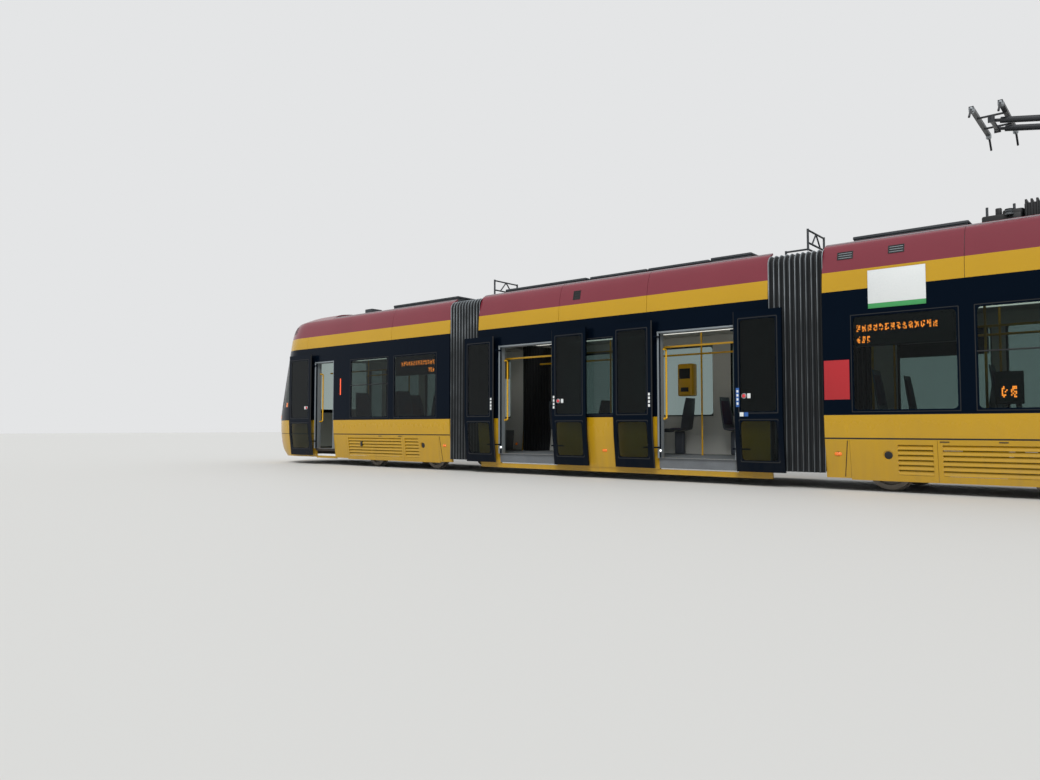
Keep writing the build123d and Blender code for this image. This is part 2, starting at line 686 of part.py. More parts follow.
RAIL_R = 17
RAIL_Y = 560
RAIL_Z = 2150
END_POLES = [(FACE + x, y) for x in (480, 1870) for y in (-RAIL_Y, RAIL_Y)]
DOOR_POLES = [(FACE + x, y) for x in (3650, 4650) for y in (-900, RAIL_Y)]
with BuildPart() as end_rails:
    for x, y in END_POLES:
        rod((x, y, PODIUM), (x, y, CEILING), RAIL_R, sides=BAR_SIDES)
    for side in (-1, 1):
        ends = [(FACE + x, side * RAIL_Y, RAIL_Z) for x in (300, 4700)]
        rod(*ends, RAIL_R, sides=BAR_SIDES)
    for x, y in DOOR_POLES:
        rod((x, y, FLOOR), (x, y, CEILING), RAIL_R, sides=BAR_SIDES)
save_both_ends(end_rails, "handrails")

MIDDLE_POLES = [(-2500, -880), (-900, -880), (900, -880), (2500, -880), (-960, 520), (960, 520)]
with BuildPart() as middle_rails:
    for x, y in MIDDLE_POLES:
        rod((x, y, FLOOR), (x, y, CEILING), RAIL_R, sides=BAR_SIDES)
    for y in (520, -880):
        rod((-2700, y, RAIL_Z), (2700, y, RAIL_Z), RAIL_R, sides=BAR_SIDES)
save(middle_rails, "middle_handrails")

# Roof equipment: boxes on the deck between the fairings, as start, end, half width and top
REAR_BOXES = [(-5890, -3900, 700, 3545), (-7600, -6200, 620, 3480), (-7580, -7320, 150, 3690)]
MIDDLE_BOXES = [
    (-2600, -700, 680, 3535),
    (-590, 550, 680, 3530),
    (610, 1700, 680, 3530),
    (1720, 2385, 600, 3565),
]
FRONT_BOXES = [(3960, 5390, 700, 3535)]
CAGES = [(-2850, -1), (2850, 1)]
CAGE_R = 18
CAGE_HALF = 355
CAGE_REACH = 340
CAGE_LOW = 3560
CAGE_SILL = 3645
CAGE_TOP = 3855
CAGE_BRACE = 180
POST_X = (5580, 5885)
POST_OUT = 500
POST_TOP = 3710
ROOF_POST_R = 16
POST_FOOT_TOP = 3400
POST_FOOT_R = 45


def deck_boxes(rows):
    """Closed equipment boxes standing on the roof deck."""
    for start, end, half, top in rows:
        block((start, end), (-half, half), (DECK, top))


with BuildPart() as rear_equipment:
    deck_boxes(REAR_BOXES)
save(rear_equipment, "rear_roof_equipment")

with BuildPart() as middle_equipment:
    deck_boxes(MIDDLE_BOXES)
    for x, side in CAGES:
        far = x + side * CAGE_REACH
        for y in (-CAGE_HALF, CAGE_HALF):
            rod((x, y, DECK), (x, y, CAGE_LOW), CAGE_R, sides=BAR_SIDES)
            rod((x, y, CAGE_LOW - CAGE_R), (far + side * CAGE_R, y, CAGE_LOW - CAGE_R), CAGE_R - 3, sides=BAR_SIDES)
            rod((far, y, CAGE_LOW - 2 * CAGE_R), (far, y, CAGE_TOP), CAGE_R, sides=BAR_SIDES)
        for z in (CAGE_LOW - CAGE_R, CAGE_SILL, CAGE_TOP - CAGE_R):
            rod((far, -CAGE_HALF, z), (far, CAGE_HALF, z), CAGE_R - 3, sides=BAR_SIDES)
        for y in (-CAGE_BRACE, CAGE_BRACE):
            rod((far, 0, CAGE_TOP - CAGE_R), (far, y, CAGE_SILL), CAGE_R - 5, sides=BAR_SIDES)
save(middle_equipment, "middle_roof_equipment")

with BuildPart() as front_equipment:
    deck_boxes(FRONT_BOXES)
    for x in POST_X:
        for y in (-POST_OUT, POST_OUT):
            rod((x, y, DECK), (x, y, POST_FOOT_TOP), POST_FOOT_R, sides=BAR_SIDES)
            rod((x, y, DECK), (x, y, POST_TOP), ROOF_POST_R, sides=BAR_SIDES)
save(front_equipment, "front_roof_equipment")

# Cab: partition behind the driver, desk and the driver's seat
with BuildPart() as partition:
    x = FACE + 4760
    room((x, x + 35), (FLOOR, CEILING), WALL)
    block((x - 1, x + 36), (-500, 250), (FLOOR - 1, 2250), mode=Mode.SUBTRACT)
save(partition, "front_cab_partition")

DESK_X = (FLOOR_END - 520, FLOOR_END - 40)
DESK_Z = (900, 1010, 1120)
DESK_HALF = 760
with BuildPart() as desk:
    low, near, far = DESK_Z
    top = [(DESK_X[0], low), (DESK_X[0], near), (DESK_X[1], far), (DESK_X[1], low)]
    side_profile(top, (-DESK_HALF, DESK_HALF))
    block((DESK_X[0] + 90, DESK_X[1] - 20), (60 - DESK_HALF, DESK_HALF - 60), (FLOOR, low + 1))
save(desk, "front_cab_desk")

with BuildPart() as driver_seat:
    seat(FACE + 5020, 0, 1, FLOOR, FLOOR + 480)
save(driver_seat, "front_driver_seat")

# Mirrors on their arms at both upper corners of the cab
MIRROR_X = FACE + 5750
MIRROR_Y = 1390
with BuildPart() as mirrors:
    rod((FACE + 5480, 980, 2800), (MIRROR_X, MIRROR_Y, 2800), 16)
    add(outer_form, mode=Mode.SUBTRACT)
    rod((MIRROR_X, MIRROR_Y, 2300), (MIRROR_X, MIRROR_Y, 2815), 18)
    block((MIRROR_X - 40, MIRROR_X + 70), (MIRROR_Y - 140, MIRROR_Y + 70), (2230, 2660))
    mirror(about=Plane.XZ)
save(mirrors, "front_mirrors")

# Pantograph
foot = Vector(PANTO_FOOT[0], 0, PANTO_FOOT[1])
knee = Vector(PANTO_KNEE[0], 0, PANTO_KNEE[1])
head = Vector(PANTO_HEAD[0], 0, PANTO_HEAD[1])
ROD_FOOT = (6500, 3520)
ROD_KNEE = (8330, 4250)
ROD_Y = -110
PIN_R = 22
HEAD_PIN_R = 12
UPPER_HALF = 187


def bar(a, b, y, radius, mode=Mode.ADD):
    """A round bar of the pantograph between two points seen from the side, at one place across."""
    rod((a.X, y, a.Z), (b.X, y, b.Z), radius, mode=mode)


def cross(at, half, radius, mode=Mode.ADD):
    """A round cross tube about a point seen from the side."""
    rod((at[0], -half, at[1]), (at[0], half, at[1]), radius, mode=mode)


with BuildPart() as panto_base:
    for side in (-1, 1):
        y = side * 420
        block((PANTO_FOOT[0] - 260, PANTO_FOOT[0] + 700), (y - 30, y + 30), (3430, 3480))
        for x in (PANTO_FOOT[0] - 200, PANTO_FOOT[0] + 620):
            rod((x, y, DECK), (x, y, 3431), 45)
        block((PANTO_FOOT[0] - 60, PANTO_FOOT[0] + 60), (y - 20, y + 20), (3479, 3680))
    for x in (PANTO_FOOT[0] - 230, PANTO_FOOT[0] + 640):
        block((x - 30, x + 30), (-420, 420), (3430, 3480))
    block((ROD_FOOT[0] - 40, ROD_FOOT[0] + 40), (-420, 420), (3430, 3470))
    block((ROD_FOOT[0] - 30, ROD_FOOT[0] + 30), (ROD_Y + 25, ROD_Y + 45), (3469, 3550))
    cross(PANTO_FOOT, 460, PIN_R + SEAT_GAP, mode=Mode.SUBTRACT)
save(panto_base, "pantograph_base")

with BuildPart() as lower_arm:
    bar(foot, knee, 0, 52)
    cross(PANTO_FOOT, 380, 40)
    cross(PANTO_FOOT, 445, PIN_R)
    cross(PANTO_KNEE, 80, 55)
    cross(PANTO_KNEE, 81, PIN_R + SEAT_GAP, mode=Mode.SUBTRACT)
save(lower_arm, "pantograph_lower_arm")

with BuildPart() as upper_arm:
    cross(PANTO_KNEE, UPPER_HALF + 20, PIN_R)
    cross(PANTO_HEAD, UPPER_HALF + 20, 27)
    for side in (-1, 1):
        bar(knee, head, side * UPPER_HALF, 22)
        collar = sorted((side * (UPPER_HALF - 40), side * (UPPER_HALF + 34)))
        for at, radius in ((PANTO_KNEE, 42), (PANTO_HEAD, 33)):
            rod((at[0], collar[0], at[1]), (at[0], collar[1], at[1]), radius)
    cross(PANTO_HEAD, 2 * UPPER_HALF, HEAD_PIN_R + SEAT_GAP, mode=Mode.SUBTRACT)
save(upper_arm, "pantograph_upper_arm")

with BuildPart() as thrust_rod:
    rod((ROD_FOOT[0], ROD_Y, ROD_FOOT[1]), (ROD_KNEE[0], ROD_Y, ROD_KNEE[1]), 14)
    rod((ROD_FOOT[0], ROD_Y - 15, ROD_FOOT[1]), (ROD_FOOT[0], ROD_Y + 24.7, ROD_FOOT[1]), 26)
save(thrust_rod, "pantograph_thrust_rod")

with BuildPart() as panto_head:
    for side in (-1, 1):
        block((PANTO_HEAD[0] - 40, PANTO_HEAD[0] + 40), (side * 240 - 12, side * 240 + 12),
              (PANTO_HEAD[1] - 40, PANTO_HEAD[1] + 40))
        x = PANTO_HEAD[0] + side * STRIP_PITCH / 2
        block((x - 28, x + 28), (-STRIP_STRAIGHT / 2, STRIP_STRAIGHT / 2), (STRIP_Z - 40, STRIP_Z))
        for way in (-1, 1):
            tip = (x, way * STRIP_HALF, STRIP_Z - 190)
            rod((x, way * (STRIP_STRAIGHT / 2 - 20), STRIP_Z - 20), tip, 14)
    for way in (-1, 1):
        start = (PANTO_HEAD[0] - STRIP_PITCH / 2, way * 240, STRIP_Z - 40)
        end = (PANTO_HEAD[0] + STRIP_PITCH / 2, way * 240, STRIP_Z - 40)
        rod(start, end, 14)
        rod((PANTO_HEAD[0], way * 240, PANTO_HEAD[1]), (PANTO_HEAD[0], way * 240, STRIP_Z - 40), 14)
    cross(PANTO_HEAD, 250, HEAD_PIN_R)
save(panto_head, "pantograph_head")
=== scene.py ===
"""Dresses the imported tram: finishes for its solids, smooth nose and roof skins, bellows, glass and fittings.

Lengths are in metres in the part's own frame: X along the tram towards the cab, the doors on the -Y side,
Z up. Heights in tables and shape functions are above the rail head, and `piece` lifts them by RAIL into the
frame. Lengths "from the face" run from an end section's inner end towards its tip.
"""
import math

import bmesh
import bpy
import numpy as np
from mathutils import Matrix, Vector


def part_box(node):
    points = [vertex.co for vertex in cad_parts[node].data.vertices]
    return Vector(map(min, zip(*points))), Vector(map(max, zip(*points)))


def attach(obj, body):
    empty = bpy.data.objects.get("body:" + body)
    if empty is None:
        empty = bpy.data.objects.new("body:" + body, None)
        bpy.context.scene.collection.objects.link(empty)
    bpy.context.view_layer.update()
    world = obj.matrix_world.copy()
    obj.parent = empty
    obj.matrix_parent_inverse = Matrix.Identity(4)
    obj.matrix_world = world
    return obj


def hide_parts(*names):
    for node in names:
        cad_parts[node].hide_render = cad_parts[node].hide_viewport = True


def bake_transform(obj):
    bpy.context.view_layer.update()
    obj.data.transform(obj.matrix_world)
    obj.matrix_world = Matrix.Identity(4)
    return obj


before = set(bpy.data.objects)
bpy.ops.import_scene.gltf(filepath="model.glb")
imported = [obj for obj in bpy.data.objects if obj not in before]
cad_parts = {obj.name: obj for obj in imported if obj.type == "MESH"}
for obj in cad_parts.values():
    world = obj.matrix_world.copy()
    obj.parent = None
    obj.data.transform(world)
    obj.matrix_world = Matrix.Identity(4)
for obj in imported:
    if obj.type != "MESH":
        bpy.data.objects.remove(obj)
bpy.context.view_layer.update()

# Lengths that the frame gives
RAIL = 0.022
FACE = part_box("front_lower_walls")[0].x
MIDDLE_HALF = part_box("middle_lower_walls")[1].x

# Heights above the rail
SKIRT_BOTTOM = 0.150
STEP_BOTTOM = 0.190
FLOOR = 0.350
RAISED_FLOOR = 0.600
PODIUM = 0.780
GROOVE = 0.690
GROOVE_LOW, GROOVE_HIGH = 0.684, 0.696
BELT = 1.010
SILL = 1.050
WINDOW_TOP = 2.360
DOOR_TOP = 2.380
CANT = 2.710
PANEL_TOP = 1.180
SCREEN_FOOT = 1.235
SCREEN_TOP = 2.945
CORNER_LOW, CORNER_HIGH = 1.330, 2.560
BAND_TOP = 2.985
# The bright lip's height along the fairing's top edge, where it is a painted highlight
HIGHLIGHT_LIP_Z = 3.402
FAIRING_TOP = 3.4243
DECK = 2.960
CEILING = 2.540
LEAF_TOP = 2.550
LAMP_Z = 1.095

# Body levels: height, half width, nose tip and end of the straight side, both from the face
LEVELS = np.array([
    (0.130, 1.092, 6.230, 5.380),
    (0.320, 1.115, 6.440, 5.380),
    (0.690, 1.160, 6.500, 5.380),
    (1.010, 1.175, 6.500, 5.380),
    (1.180, 1.175, 6.490, 5.380),
    (2.710, 1.175, 6.090, 5.180),
    (2.985, 1.160, 6.060, 5.050),
    (3.250, 1.105, 5.960, 5.000),
    (3.360, 1.050, 5.860, 4.950),
    (3.400, 0.985, 5.740, 4.900),
    (3.502, 0.800, 5.480, 4.500),
    (3.550, 0.450, 5.050, 4.000),
    (3.558, 0.001, 4.950, 3.980),
])
# Half width at the belt, the nose's bow and corner inset as shares of it, lengths from the face,
# thicknesses of walls and plates, and how far the outline and the levels are rounded
HALF = 1.175
NOSE_BOW = 0.22
NOSE_INSET = 0.21
NOSE_SPLIT = 5.380
PILLAR_EDGE = 5.440
CORNER_X = 6.020
END_SEAMS = (1.760, 4.790)
SEAM_HALF = 0.003
TRAY_END = 4.050
WALL = 0.050
SKIN = 0.030
DECK_PLATE = 0.060
DECK_END = 5.600
CEILING_PLATE = 0.030
CEILING_END = 5.100
ROOF_HALF = 1.120
CORNER_ROUNDING = 0.07
LEVEL_ROUNDING = 0.35

# Openings along X, from the face on an end section
END_WINDOWS = [(0.380, 1.680), (1.860, 3.150)]
FAR_WINDOWS = END_WINDOWS + [(3.400, 4.640), (4.800, 5.300)]
END_DOOR = (3.760, 4.500)
END_LEAF = (4.490, 5.330)
MIDDLE_DOORS = [(-2.370, -1.030), (1.030, 2.370)]
MIDDLE_LEAVES = [(-3.125, -2.405), (-0.995, -0.275), (0.275, 0.995), (2.405, 3.125)]
MIDDLE_WINDOWS = [(-0.880, 0.880)]
MIDDLE_FAR_WINDOWS = [(-2.600, -1.230), (-0.880, 0.880), (1.230, 2.600)]
MIDDLE_SEAMS = (-0.940, 0.850)
SCREEN_HALF = 0.885
PANEL_HALF = 0.460
LEAF_OUT = 0.125
LEAF_BACK = 0.085
LEAF_FRAME = 0.070


# Finishes

def srgb(code):
    """Turns an sRGB hex colour into the linear values that a shader takes."""
    c = np.array([int(code[i:i + 2], 16) for i in (0, 2, 4)]) / 255
    return (*np.where(c <= 0.04045, c / 12.92, ((c + 0.055) / 1.055) ** 2.4), 1.0)


def wire(tree, node, links):
    """Sets a node's sockets to values, or joins them to sockets or to the first output of other nodes."""
    for key, value in links.items():
        if isinstance(value, bpy.types.Node):
            value = value.outputs[0]
        if isinstance(value, bpy.types.NodeSocket):
            tree.links.new(value, node.inputs[key])
        else:
            node.inputs[key].default_value = value


def add(tree, kind, links=None, **settings):
    """Adds a node, its kind written without ShaderNode: settings are its own, and links is for wire."""
    node = tree.nodes.new("ShaderNode" + kind)
    for name, value in settings.items():
        setattr(node, name, value)
    wire(tree, node, links or {})
    return node


def start(name, **values):
    """A new material: itself, its node tree, its Principled shader and the place on the piece, in metres."""
    finish = bpy.data.materials.new(name)
    finish.use_nodes = True
    tree = finish.node_tree
    tree.nodes.clear()
    shader = add(tree, "BsdfPrincipled", {key.replace("_", " "): v for key, v in values.items()})
    add(tree, "OutputMaterial", {"Surface": shader})
    return finish, tree, shader, add(tree, "TexCoord").outputs["Object"]


def coach_enamel(name, colour, shade, dust_range, gloss, inside=None, painted_sky_tint="FFFFFF"):
    """Sprayed two-pack enamel under a clear coat: even and glossy, a little wavy where it catches the light.

    Road dust fades from the rail to the belt line through dust_range, and rain streaks run down it. inside is
    the colour of a wall's lining, seen where a face's Y points back at the centre line. The last argument
    tints
    what the coat mirrors: on the dark paint it is a painted reflection of a bluish sky.
    """
    # The coat's reflections take the last argument's tint: on the dark paint, a painted sky reflection
    finish, tree, shader, place = start(name, Coat_Weight=gloss, Coat_Roughness=0.06,
                                        Specular_IOR_Level=0.1 + gloss, Specular_Tint=srgb(painted_sky_tint))
    at = add(tree, "SeparateXYZ", {0: place})
    # Streaks about 90 mm wide that run the wall's height; the shift keeps the noise's own grid off the walls
    stretched = add(tree, "Mapping", {0: place, 1: (0.37, 0.21, 0.12), 3: (11, 11, 0.25)})
    streaks = add(tree, "TexNoise", {0: stretched, "Scale": 1.0, "Detail": 4.0})
    low = add(tree, "MapRange", {0: at.outputs[2], 1: 0.15, 2: 1.05, 3: dust_range[0], 4: dust_range[1]})
    dust = add(tree, "Math", {0: low, 1: streaks}, operation="MULTIPLY")
    # Fading in patches about 0.7 m across
    patches = add(tree, "TexNoise", {0: place, "Scale": 1.4, "Detail": 2.0})
    faded = add(tree, "Mix", {0: patches, 6: srgb(colour), 7: srgb(shade)}, data_type="RGBA")
    dusty = add(tree, "Mix", {0: dust, 6: faded.outputs[2], 7: srgb("6F6450")}, data_type="RGBA")
    rough = add(tree, "MapRange", {0: dust, 1: 0.0, 2: 0.5, 3: 0.24, 4: 0.62})
    # Waves in the sheet about 250 mm across and a fraction of a millimetre deep
    waves = add(tree, "TexNoise", {0: place, "Scale": 4.0, "Detail": 1.0})
    bump = add(tree, "Bump", {"Strength": 0.35, "Distance": 0.002, "Height": waves})
    colour_out, rough_out = dusty.outputs[2], rough
    if inside:
        facing = add(tree, "SeparateXYZ", {0: add(tree, "TexCoord").outputs["Normal"]})
        side = add(tree, "Math", {0: at.outputs[1]}, operation="SIGN")
        inward = add(tree, "Math", {0: facing.outputs[1], 1: side}, operation="MULTIPLY")
        share = add(tree, "Math", {0: inward, 1: -0.4}, operation="LESS_THAN")
        lined = add(tree, "Mix", {0: share, 6: colour_out, 7: srgb(inside)}, data_type="RGBA")
        dull = add(tree, "Mix", {0: share, 2: rough_out, 3: 0.55})
        colour_out, rough_out = lined.outputs[2], dull
    wire(tree, shader, {"Base Color": colour_out, "Roughness": rough_out, "Normal": bump})
    return finish


def speckled(name, colour, shade, grain, rough, depth, metal=0.0, spread=0.5):
    """A matt or satin surface: two close shades in grains of a size in metres, the same grain as relief."""
    finish, tree, shader, place = start(name, Metallic=metal)
    noise = add(tree, "TexNoise", {0: place, "Scale": 1 / grain, "Detail": 5.0})
    wear = add(tree, "TexNoise", {0: place, "Scale": 2.3, "Detail": 3.0})
    mixed = add(tree, "Math", {0: noise, 1: wear}, operation="MULTIPLY")
    share = add(tree, "MapRange", {0: mixed, 1: 0.12, 2: 0.12 + spread, 3: 0.0, 4: 1.0})
    tone = add(tree, "Mix", {0: share, 6: srgb(colour), 7: srgb(shade)}, data_type="RGBA")
    dull = add(tree, "MapRange", {0: wear, 1: 0.3, 2: 0.7, 3: rough - 0.07, 4: rough + 0.07})
    bump = add(tree, "Bump", {"Strength": 0.5, "Distance": depth, "Height": noise})
    wire(tree, shader, {"Base Color": tone.outputs[2], "Roughness": dull, "Normal": bump})
    return finish


def tinted_pane(name, tint, share):
    """Toughened glass, dyed through: it shows what is behind it dimly, and the sky where seen at a slant."""
    finish, tree, shader, place = start(name, Base_Color=srgb("05080A"), Roughness=0.03)
    film = add(tree, "TexNoise", {0: place, "Scale": 1.7, "Detail": 3.0})
    haze = add(tree, "MapRange", {0: film, 1: 0.3, 2: 0.8, 3: 0.02, 4: 0.09})
    wire(tree, shader, {"Roughness": haze})
    clear = add(tree, "BsdfTransparent", {0: srgb(tint)})
    edge = add(tree, "LayerWeight", {"Blend": 0.3})
    amount = add(tree, "MapRange", {0: edge.outputs["Facing"], 1: 0.0, 2: 1.0, 3: share, 4: 0.96})
    both = add(tree, "MixShader", {0: amount, 1: clear, 2: shader})
    wire(tree, tree.nodes["Material Output"], {0: both})
    return finish


def lamp_lens(name, colour, glow, ribs):
    """Moulded acrylic lens: clear gloss over fine ribs, more per metre as ribs grows, a little alight."""
    finish, tree, shader, place = start(name, Base_Color=srgb(colour), Roughness=0.12, Coat_Weight=0.6,
                                        Emission_Color=srgb(colour), Emission_Strength=glow)
    wave = add(tree, "TexWave", {0: place, "Scale": ribs}, bands_direction="Z")
    bump = add(tree, "Bump", {"Strength": 0.4, "Distance": 0.002, "Height": wave.outputs["Fac"]})
    wire(tree, shader, {"Normal": bump})
    return finish


# Two-pack enamel on aluminium and glass-fibre panels
YELLOW = coach_enamel("yellow_enamel", "C79A10", "BF930E", (0.42, 0.03), 0.25, inside="CFCFC8")
RED = coach_enamel("red_enamel", "802E3B", "772835", (0.3, 0.02), 0.25, inside="3A3335")
# Its coat mirrors a bluish tint: a painted reflection of a blue sky
BLACK = coach_enamel("black_enamel", "030A14", "050D18", (0.06, 0.0), 0.025, inside="CFCFC8", painted_sky_tint="6D93C4")
# Dyed window glass, and the clearer laminated windscreen
PANE = tinted_pane("tinted_window_glass", "CFDAD8", 0.17)
SCREEN = tinted_pane("laminated_windscreen", "DCE4E1", 0.12)
# Extruded EPDM seals: dead black, slightly dusty
SEAL = speckled("epdm_seal", "0E0F10", "1B1C1D", 0.004, 0.72, 0.0003)
# Injection-moulded ABS
PLASTIC = speckled("moulded_black_abs", "101113", "191B1D", 0.003, 0.45, 0.0003)
# Anodised aluminium extrusions of the door portals and sills
ALUMINIUM = speckled("anodised_aluminium", "A2A7AA", "8E9396", 0.006, 0.38, 0.0002, metal=0.75)
# Powder-coated door posts and portal linings
PORTAL = speckled("powder_coated_lining", "858C90", "787F84", 0.005, 0.5, 0.0003)
# Painted steel underframes and bogies, grey with brake dust
FRAME_PAINT = speckled("dusty_frame_paint", "3C3A38", "5A4C40", 0.03, 0.75, 0.001)
# Galvanised and painted roof housings, dulled by weather
HOUSING = speckled("weathered_roof_paint", "3C4044", "303438", 0.02, 0.6, 0.0006)
# Tubular steel of the pantograph, painted near-black
ARM_PAINT = speckled("pantograph_paint", "26292D", "1E2125", 0.012, 0.45, 0.0004)
# Ribbed rubber walkway between the fairings
WALKWAY = speckled("roof_walkway_rubber", "4A4D4E", "5B5E5E", 0.012, 0.8, 0.0008)
# Silicone rubber insulators, grey with soot
INSULATOR = speckled("silicone_insulator", "5A5E60", "484B4E", 0.01, 0.35, 0.0004)
# Vinyl sheet floor with grit that shows as speckles; real grit is 1 mm, drawn 4 mm to show
VINYL = speckled("gritted_floor_vinyl", "5C6064", "777B7E", 0.004, 0.68, 0.0004, spread=0.3)
# High-pressure laminate of the saloon's ceiling and walls
LAMINATE = speckled("saloon_laminate", "CDCDC6", "BFC0BA", 0.01, 0.5, 0.0002)
# Powder-coated handrails
HANDRAIL = speckled("yellow_handrail_coat", "E8B21C", "D9A316", 0.01, 0.32, 0.0002)
# Moulded seat shells
SHELL = speckled("grey_seat_shell", "4A4F58", "3F444C", 0.004, 0.5, 0.0003)
# Soft grey foam of the cab trim
CAB_TRIM = speckled("cab_foam_trim", "3A3D41", "2F3236", 0.004, 0.7, 0.0006)
# Off-white enamelled sheet of the blank sign
SIGN = speckled("white_sign_enamel", "E6E8E6", "DADDDC", 0.02, 0.4, 0.0002)
GREEN = speckled("green_sign_strip", "3F9A56", "388C4D", 0.02, 0.4, 0.0002)
AMBER = lamp_lens("amber_lens", "E8741A", 0.25, 80)
# The red corner reflectors are no lamps: their faint glow is painted light
RUBY_PAINTED_GLOW = lamp_lens("ruby_reflector_painted_glow", "9E1420", 0.15, 80)
CLEAR = lamp_lens("clear_lamp_lens", "C9CDD0", 0.05, 60)
GLOW = lamp_lens("door_light", "F0562A", 1.2, 20)
LED = lamp_lens("amber_led", "FF8A2E", 5.0, 200)
LIGHT = lamp_lens("saloon_light_diffuser", "F4F3EA", 1.1, 30)
LEAF_TINT = tinted_pane("dark_leaf_film", "6F7B7C", 0.5)
BLUE = speckled("blue_vinyl_label", "2A5FA8", "28589C", 0.02, 0.4, 0.0002)
# Woven moquette drawn at 5 mm, coarser than the real 1 mm, so that it shows
MOQUETTE = speckled("seat_moquette", "5A2B35", "2E3B55", 0.005, 0.85, 0.0012, spread=0.2)
BUTTON = lamp_lens("red_push_button", "C4202A", 0.3, 50)
GLOW_WHITE = lamp_lens("step_lamp_lens", "F2F4F5", 1.5, 40)


def steel_tread():
    """Forged wheel steel: rolled bright on the tread, where a face's Y is small, and rusty on the discs, their
    grey-brown painted lighter than the steel as painted light against the skirt's shadow.
    """
    finish, tree, shader, place = start("forged_wheel_steel")
    facing = add(tree, "SeparateXYZ", {0: add(tree, "TexCoord").outputs["Normal"]})
    across = add(tree, "Math", {0: facing.outputs[1]}, operation="ABSOLUTE")
    disc = add(tree, "MapRange", {0: across, 1: 0.25, 2: 0.6, 3: 0.0, 4: 1.0})
    # Rust in patches about 40 mm across
    rust = add(tree, "TexNoise", {0: place, "Scale": 25.0, "Detail": 4.0})
    # The discs' rust is mixed in light grey-browns: painted light, so that they read lit in the skirt's shadow
    lightened_rust = add(tree, "Mix", {0: rust, 6: srgb("8C857C"), 7: srgb("A69D92")}, data_type="RGBA")
    tone = add(tree, "Mix", {0: disc, 6: srgb("9A9894"), 7: lightened_rust.outputs[2]}, data_type="RGBA")
    metal = add(tree, "MapRange", {0: disc, 3: 0.9, 4: 0.1})
    dull = add(tree, "MapRange", {0: disc, 3: 0.28, 4: 0.75})
    wire(tree, shader, {"Base Color": tone.outputs[2], "Metallic": metal, "Roughness": dull})
    return finish


def folded_rubber():
    """Coated bellows fabric: matt charcoal, its crests paler, partly worn and partly a painted highlight; the
    crest attribute is 1 on a crest.
    """
    finish, tree, shader, place = start("coated_bellows_fabric", Roughness=0.7)
    crest = add(tree, "Attribute", attribute_name="crest")
    # Weave drawn at 6 mm, coarser than the real 1 mm, so that it shows
    weave = add(tree, "TexNoise", {0: place, "Scale": 160.0, "Detail": 2.0})
    grime = add(tree, "TexNoise", {0: place, "Scale": 3.0, "Detail": 4.0})
    at = add(tree, "SeparateXYZ", {0: place})
    # The crests' paleness grows above 2.3 m, in full from 2.8 m
    paler_higher = add(tree, "MapRange", {0: at.outputs[2], 1: 2.3, 2: 2.8, 3: 0.6, 4: 1.6})
    lined = add(tree, "Math", {0: crest.outputs["Fac"], 1: paler_higher}, operation="MULTIPLY")
    worn_and_highlit = add(tree, "Math", {0: lined, 1: grime}, operation="MULTIPLY")
    # Pale crests: partly wear, partly a painted highlight where light catches them
    tone = add(tree, "Mix", {0: worn_and_highlit, 6: srgb("101417"), 7: srgb("B9C0C4")}, data_type="RGBA")
    bump = add(tree, "Bump", {"Strength": 0.4, "Distance": 0.001, "Height": weave})
    wire(tree, shader, {"Base Color": tone.outputs[2], "Normal": bump})
    return finish


WHEEL = steel_tread()
BELLOWS = folded_rubber()

FINISH_OF = {
    "lower_walls": YELLOW, "skirt_hatches": YELLOW, "upper_walls": BLACK, "door_leaf": BLACK,
    "door_leaves": BLACK, "glazing": PANE, "underframe": FRAME_PAINT, "podiums": VINYL, "handrails": HANDRAIL,
    "roof_equipment": HOUSING, "bogie_frame": FRAME_PAINT, "wheelset": WHEEL, "floor": VINYL,
    "cab_partition": LAMINATE, "cab_desk": CAB_TRIM, "driver_seat": CAB_TRIM, "mirrors": PLASTIC,
    "pantograph": ARM_PAINT, "seats": SHELL,
}
ROUND_NODES = ("wheelset", "pantograph", "handrails", "bogie_frame", "mirrors")
for name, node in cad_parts.items():
    for key, finish in FINISH_OF.items():
        if key in name:
            node.data.materials.clear()
            node.data.materials.append(finish)
    # The solids' turned and bent surfaces are shaded smooth, with their edges kept
    if any(key in name for key in ROUND_NODES):
        node.modifiers.new("joined", "WELD").merge_threshold = 0.00002
        node.modifiers.new("edges", "EDGE_SPLIT").split_angle = math.radians(38)
        node.data.polygons.foreach_set("use_smooth", np.ones(len(node.data.polygons), bool))


# The end section's skin

def eased(table, at, reach):
    """The table read at row positions, each value a mean over reach rows both ways, straight at its ends."""
    longer = np.vstack([2 * table[0] - table[1], table, 2 * table[-1] - table[-2]])
    spread = at[:, None] + np.linspace(-reach, reach, 21)
    rows = np.arange(-1, len(table) + 1)
    return np.stack([np.interp(spread, rows, column).mean(axis=1) for column in longer.T], axis=1)


STEPS = np.linspace(0, len(LEVELS) - 1, 800)
FORM = eased(LEVELS, STEPS, LEVEL_ROUNDING)
CROWN = FORM[-1, 0]


def form(z):
    """Half width, nose tip and end of the straight side at heights z."""
    return [np.interp(z, FORM[:, 0], FORM[:, k]) for k in (1, 2, 3)]


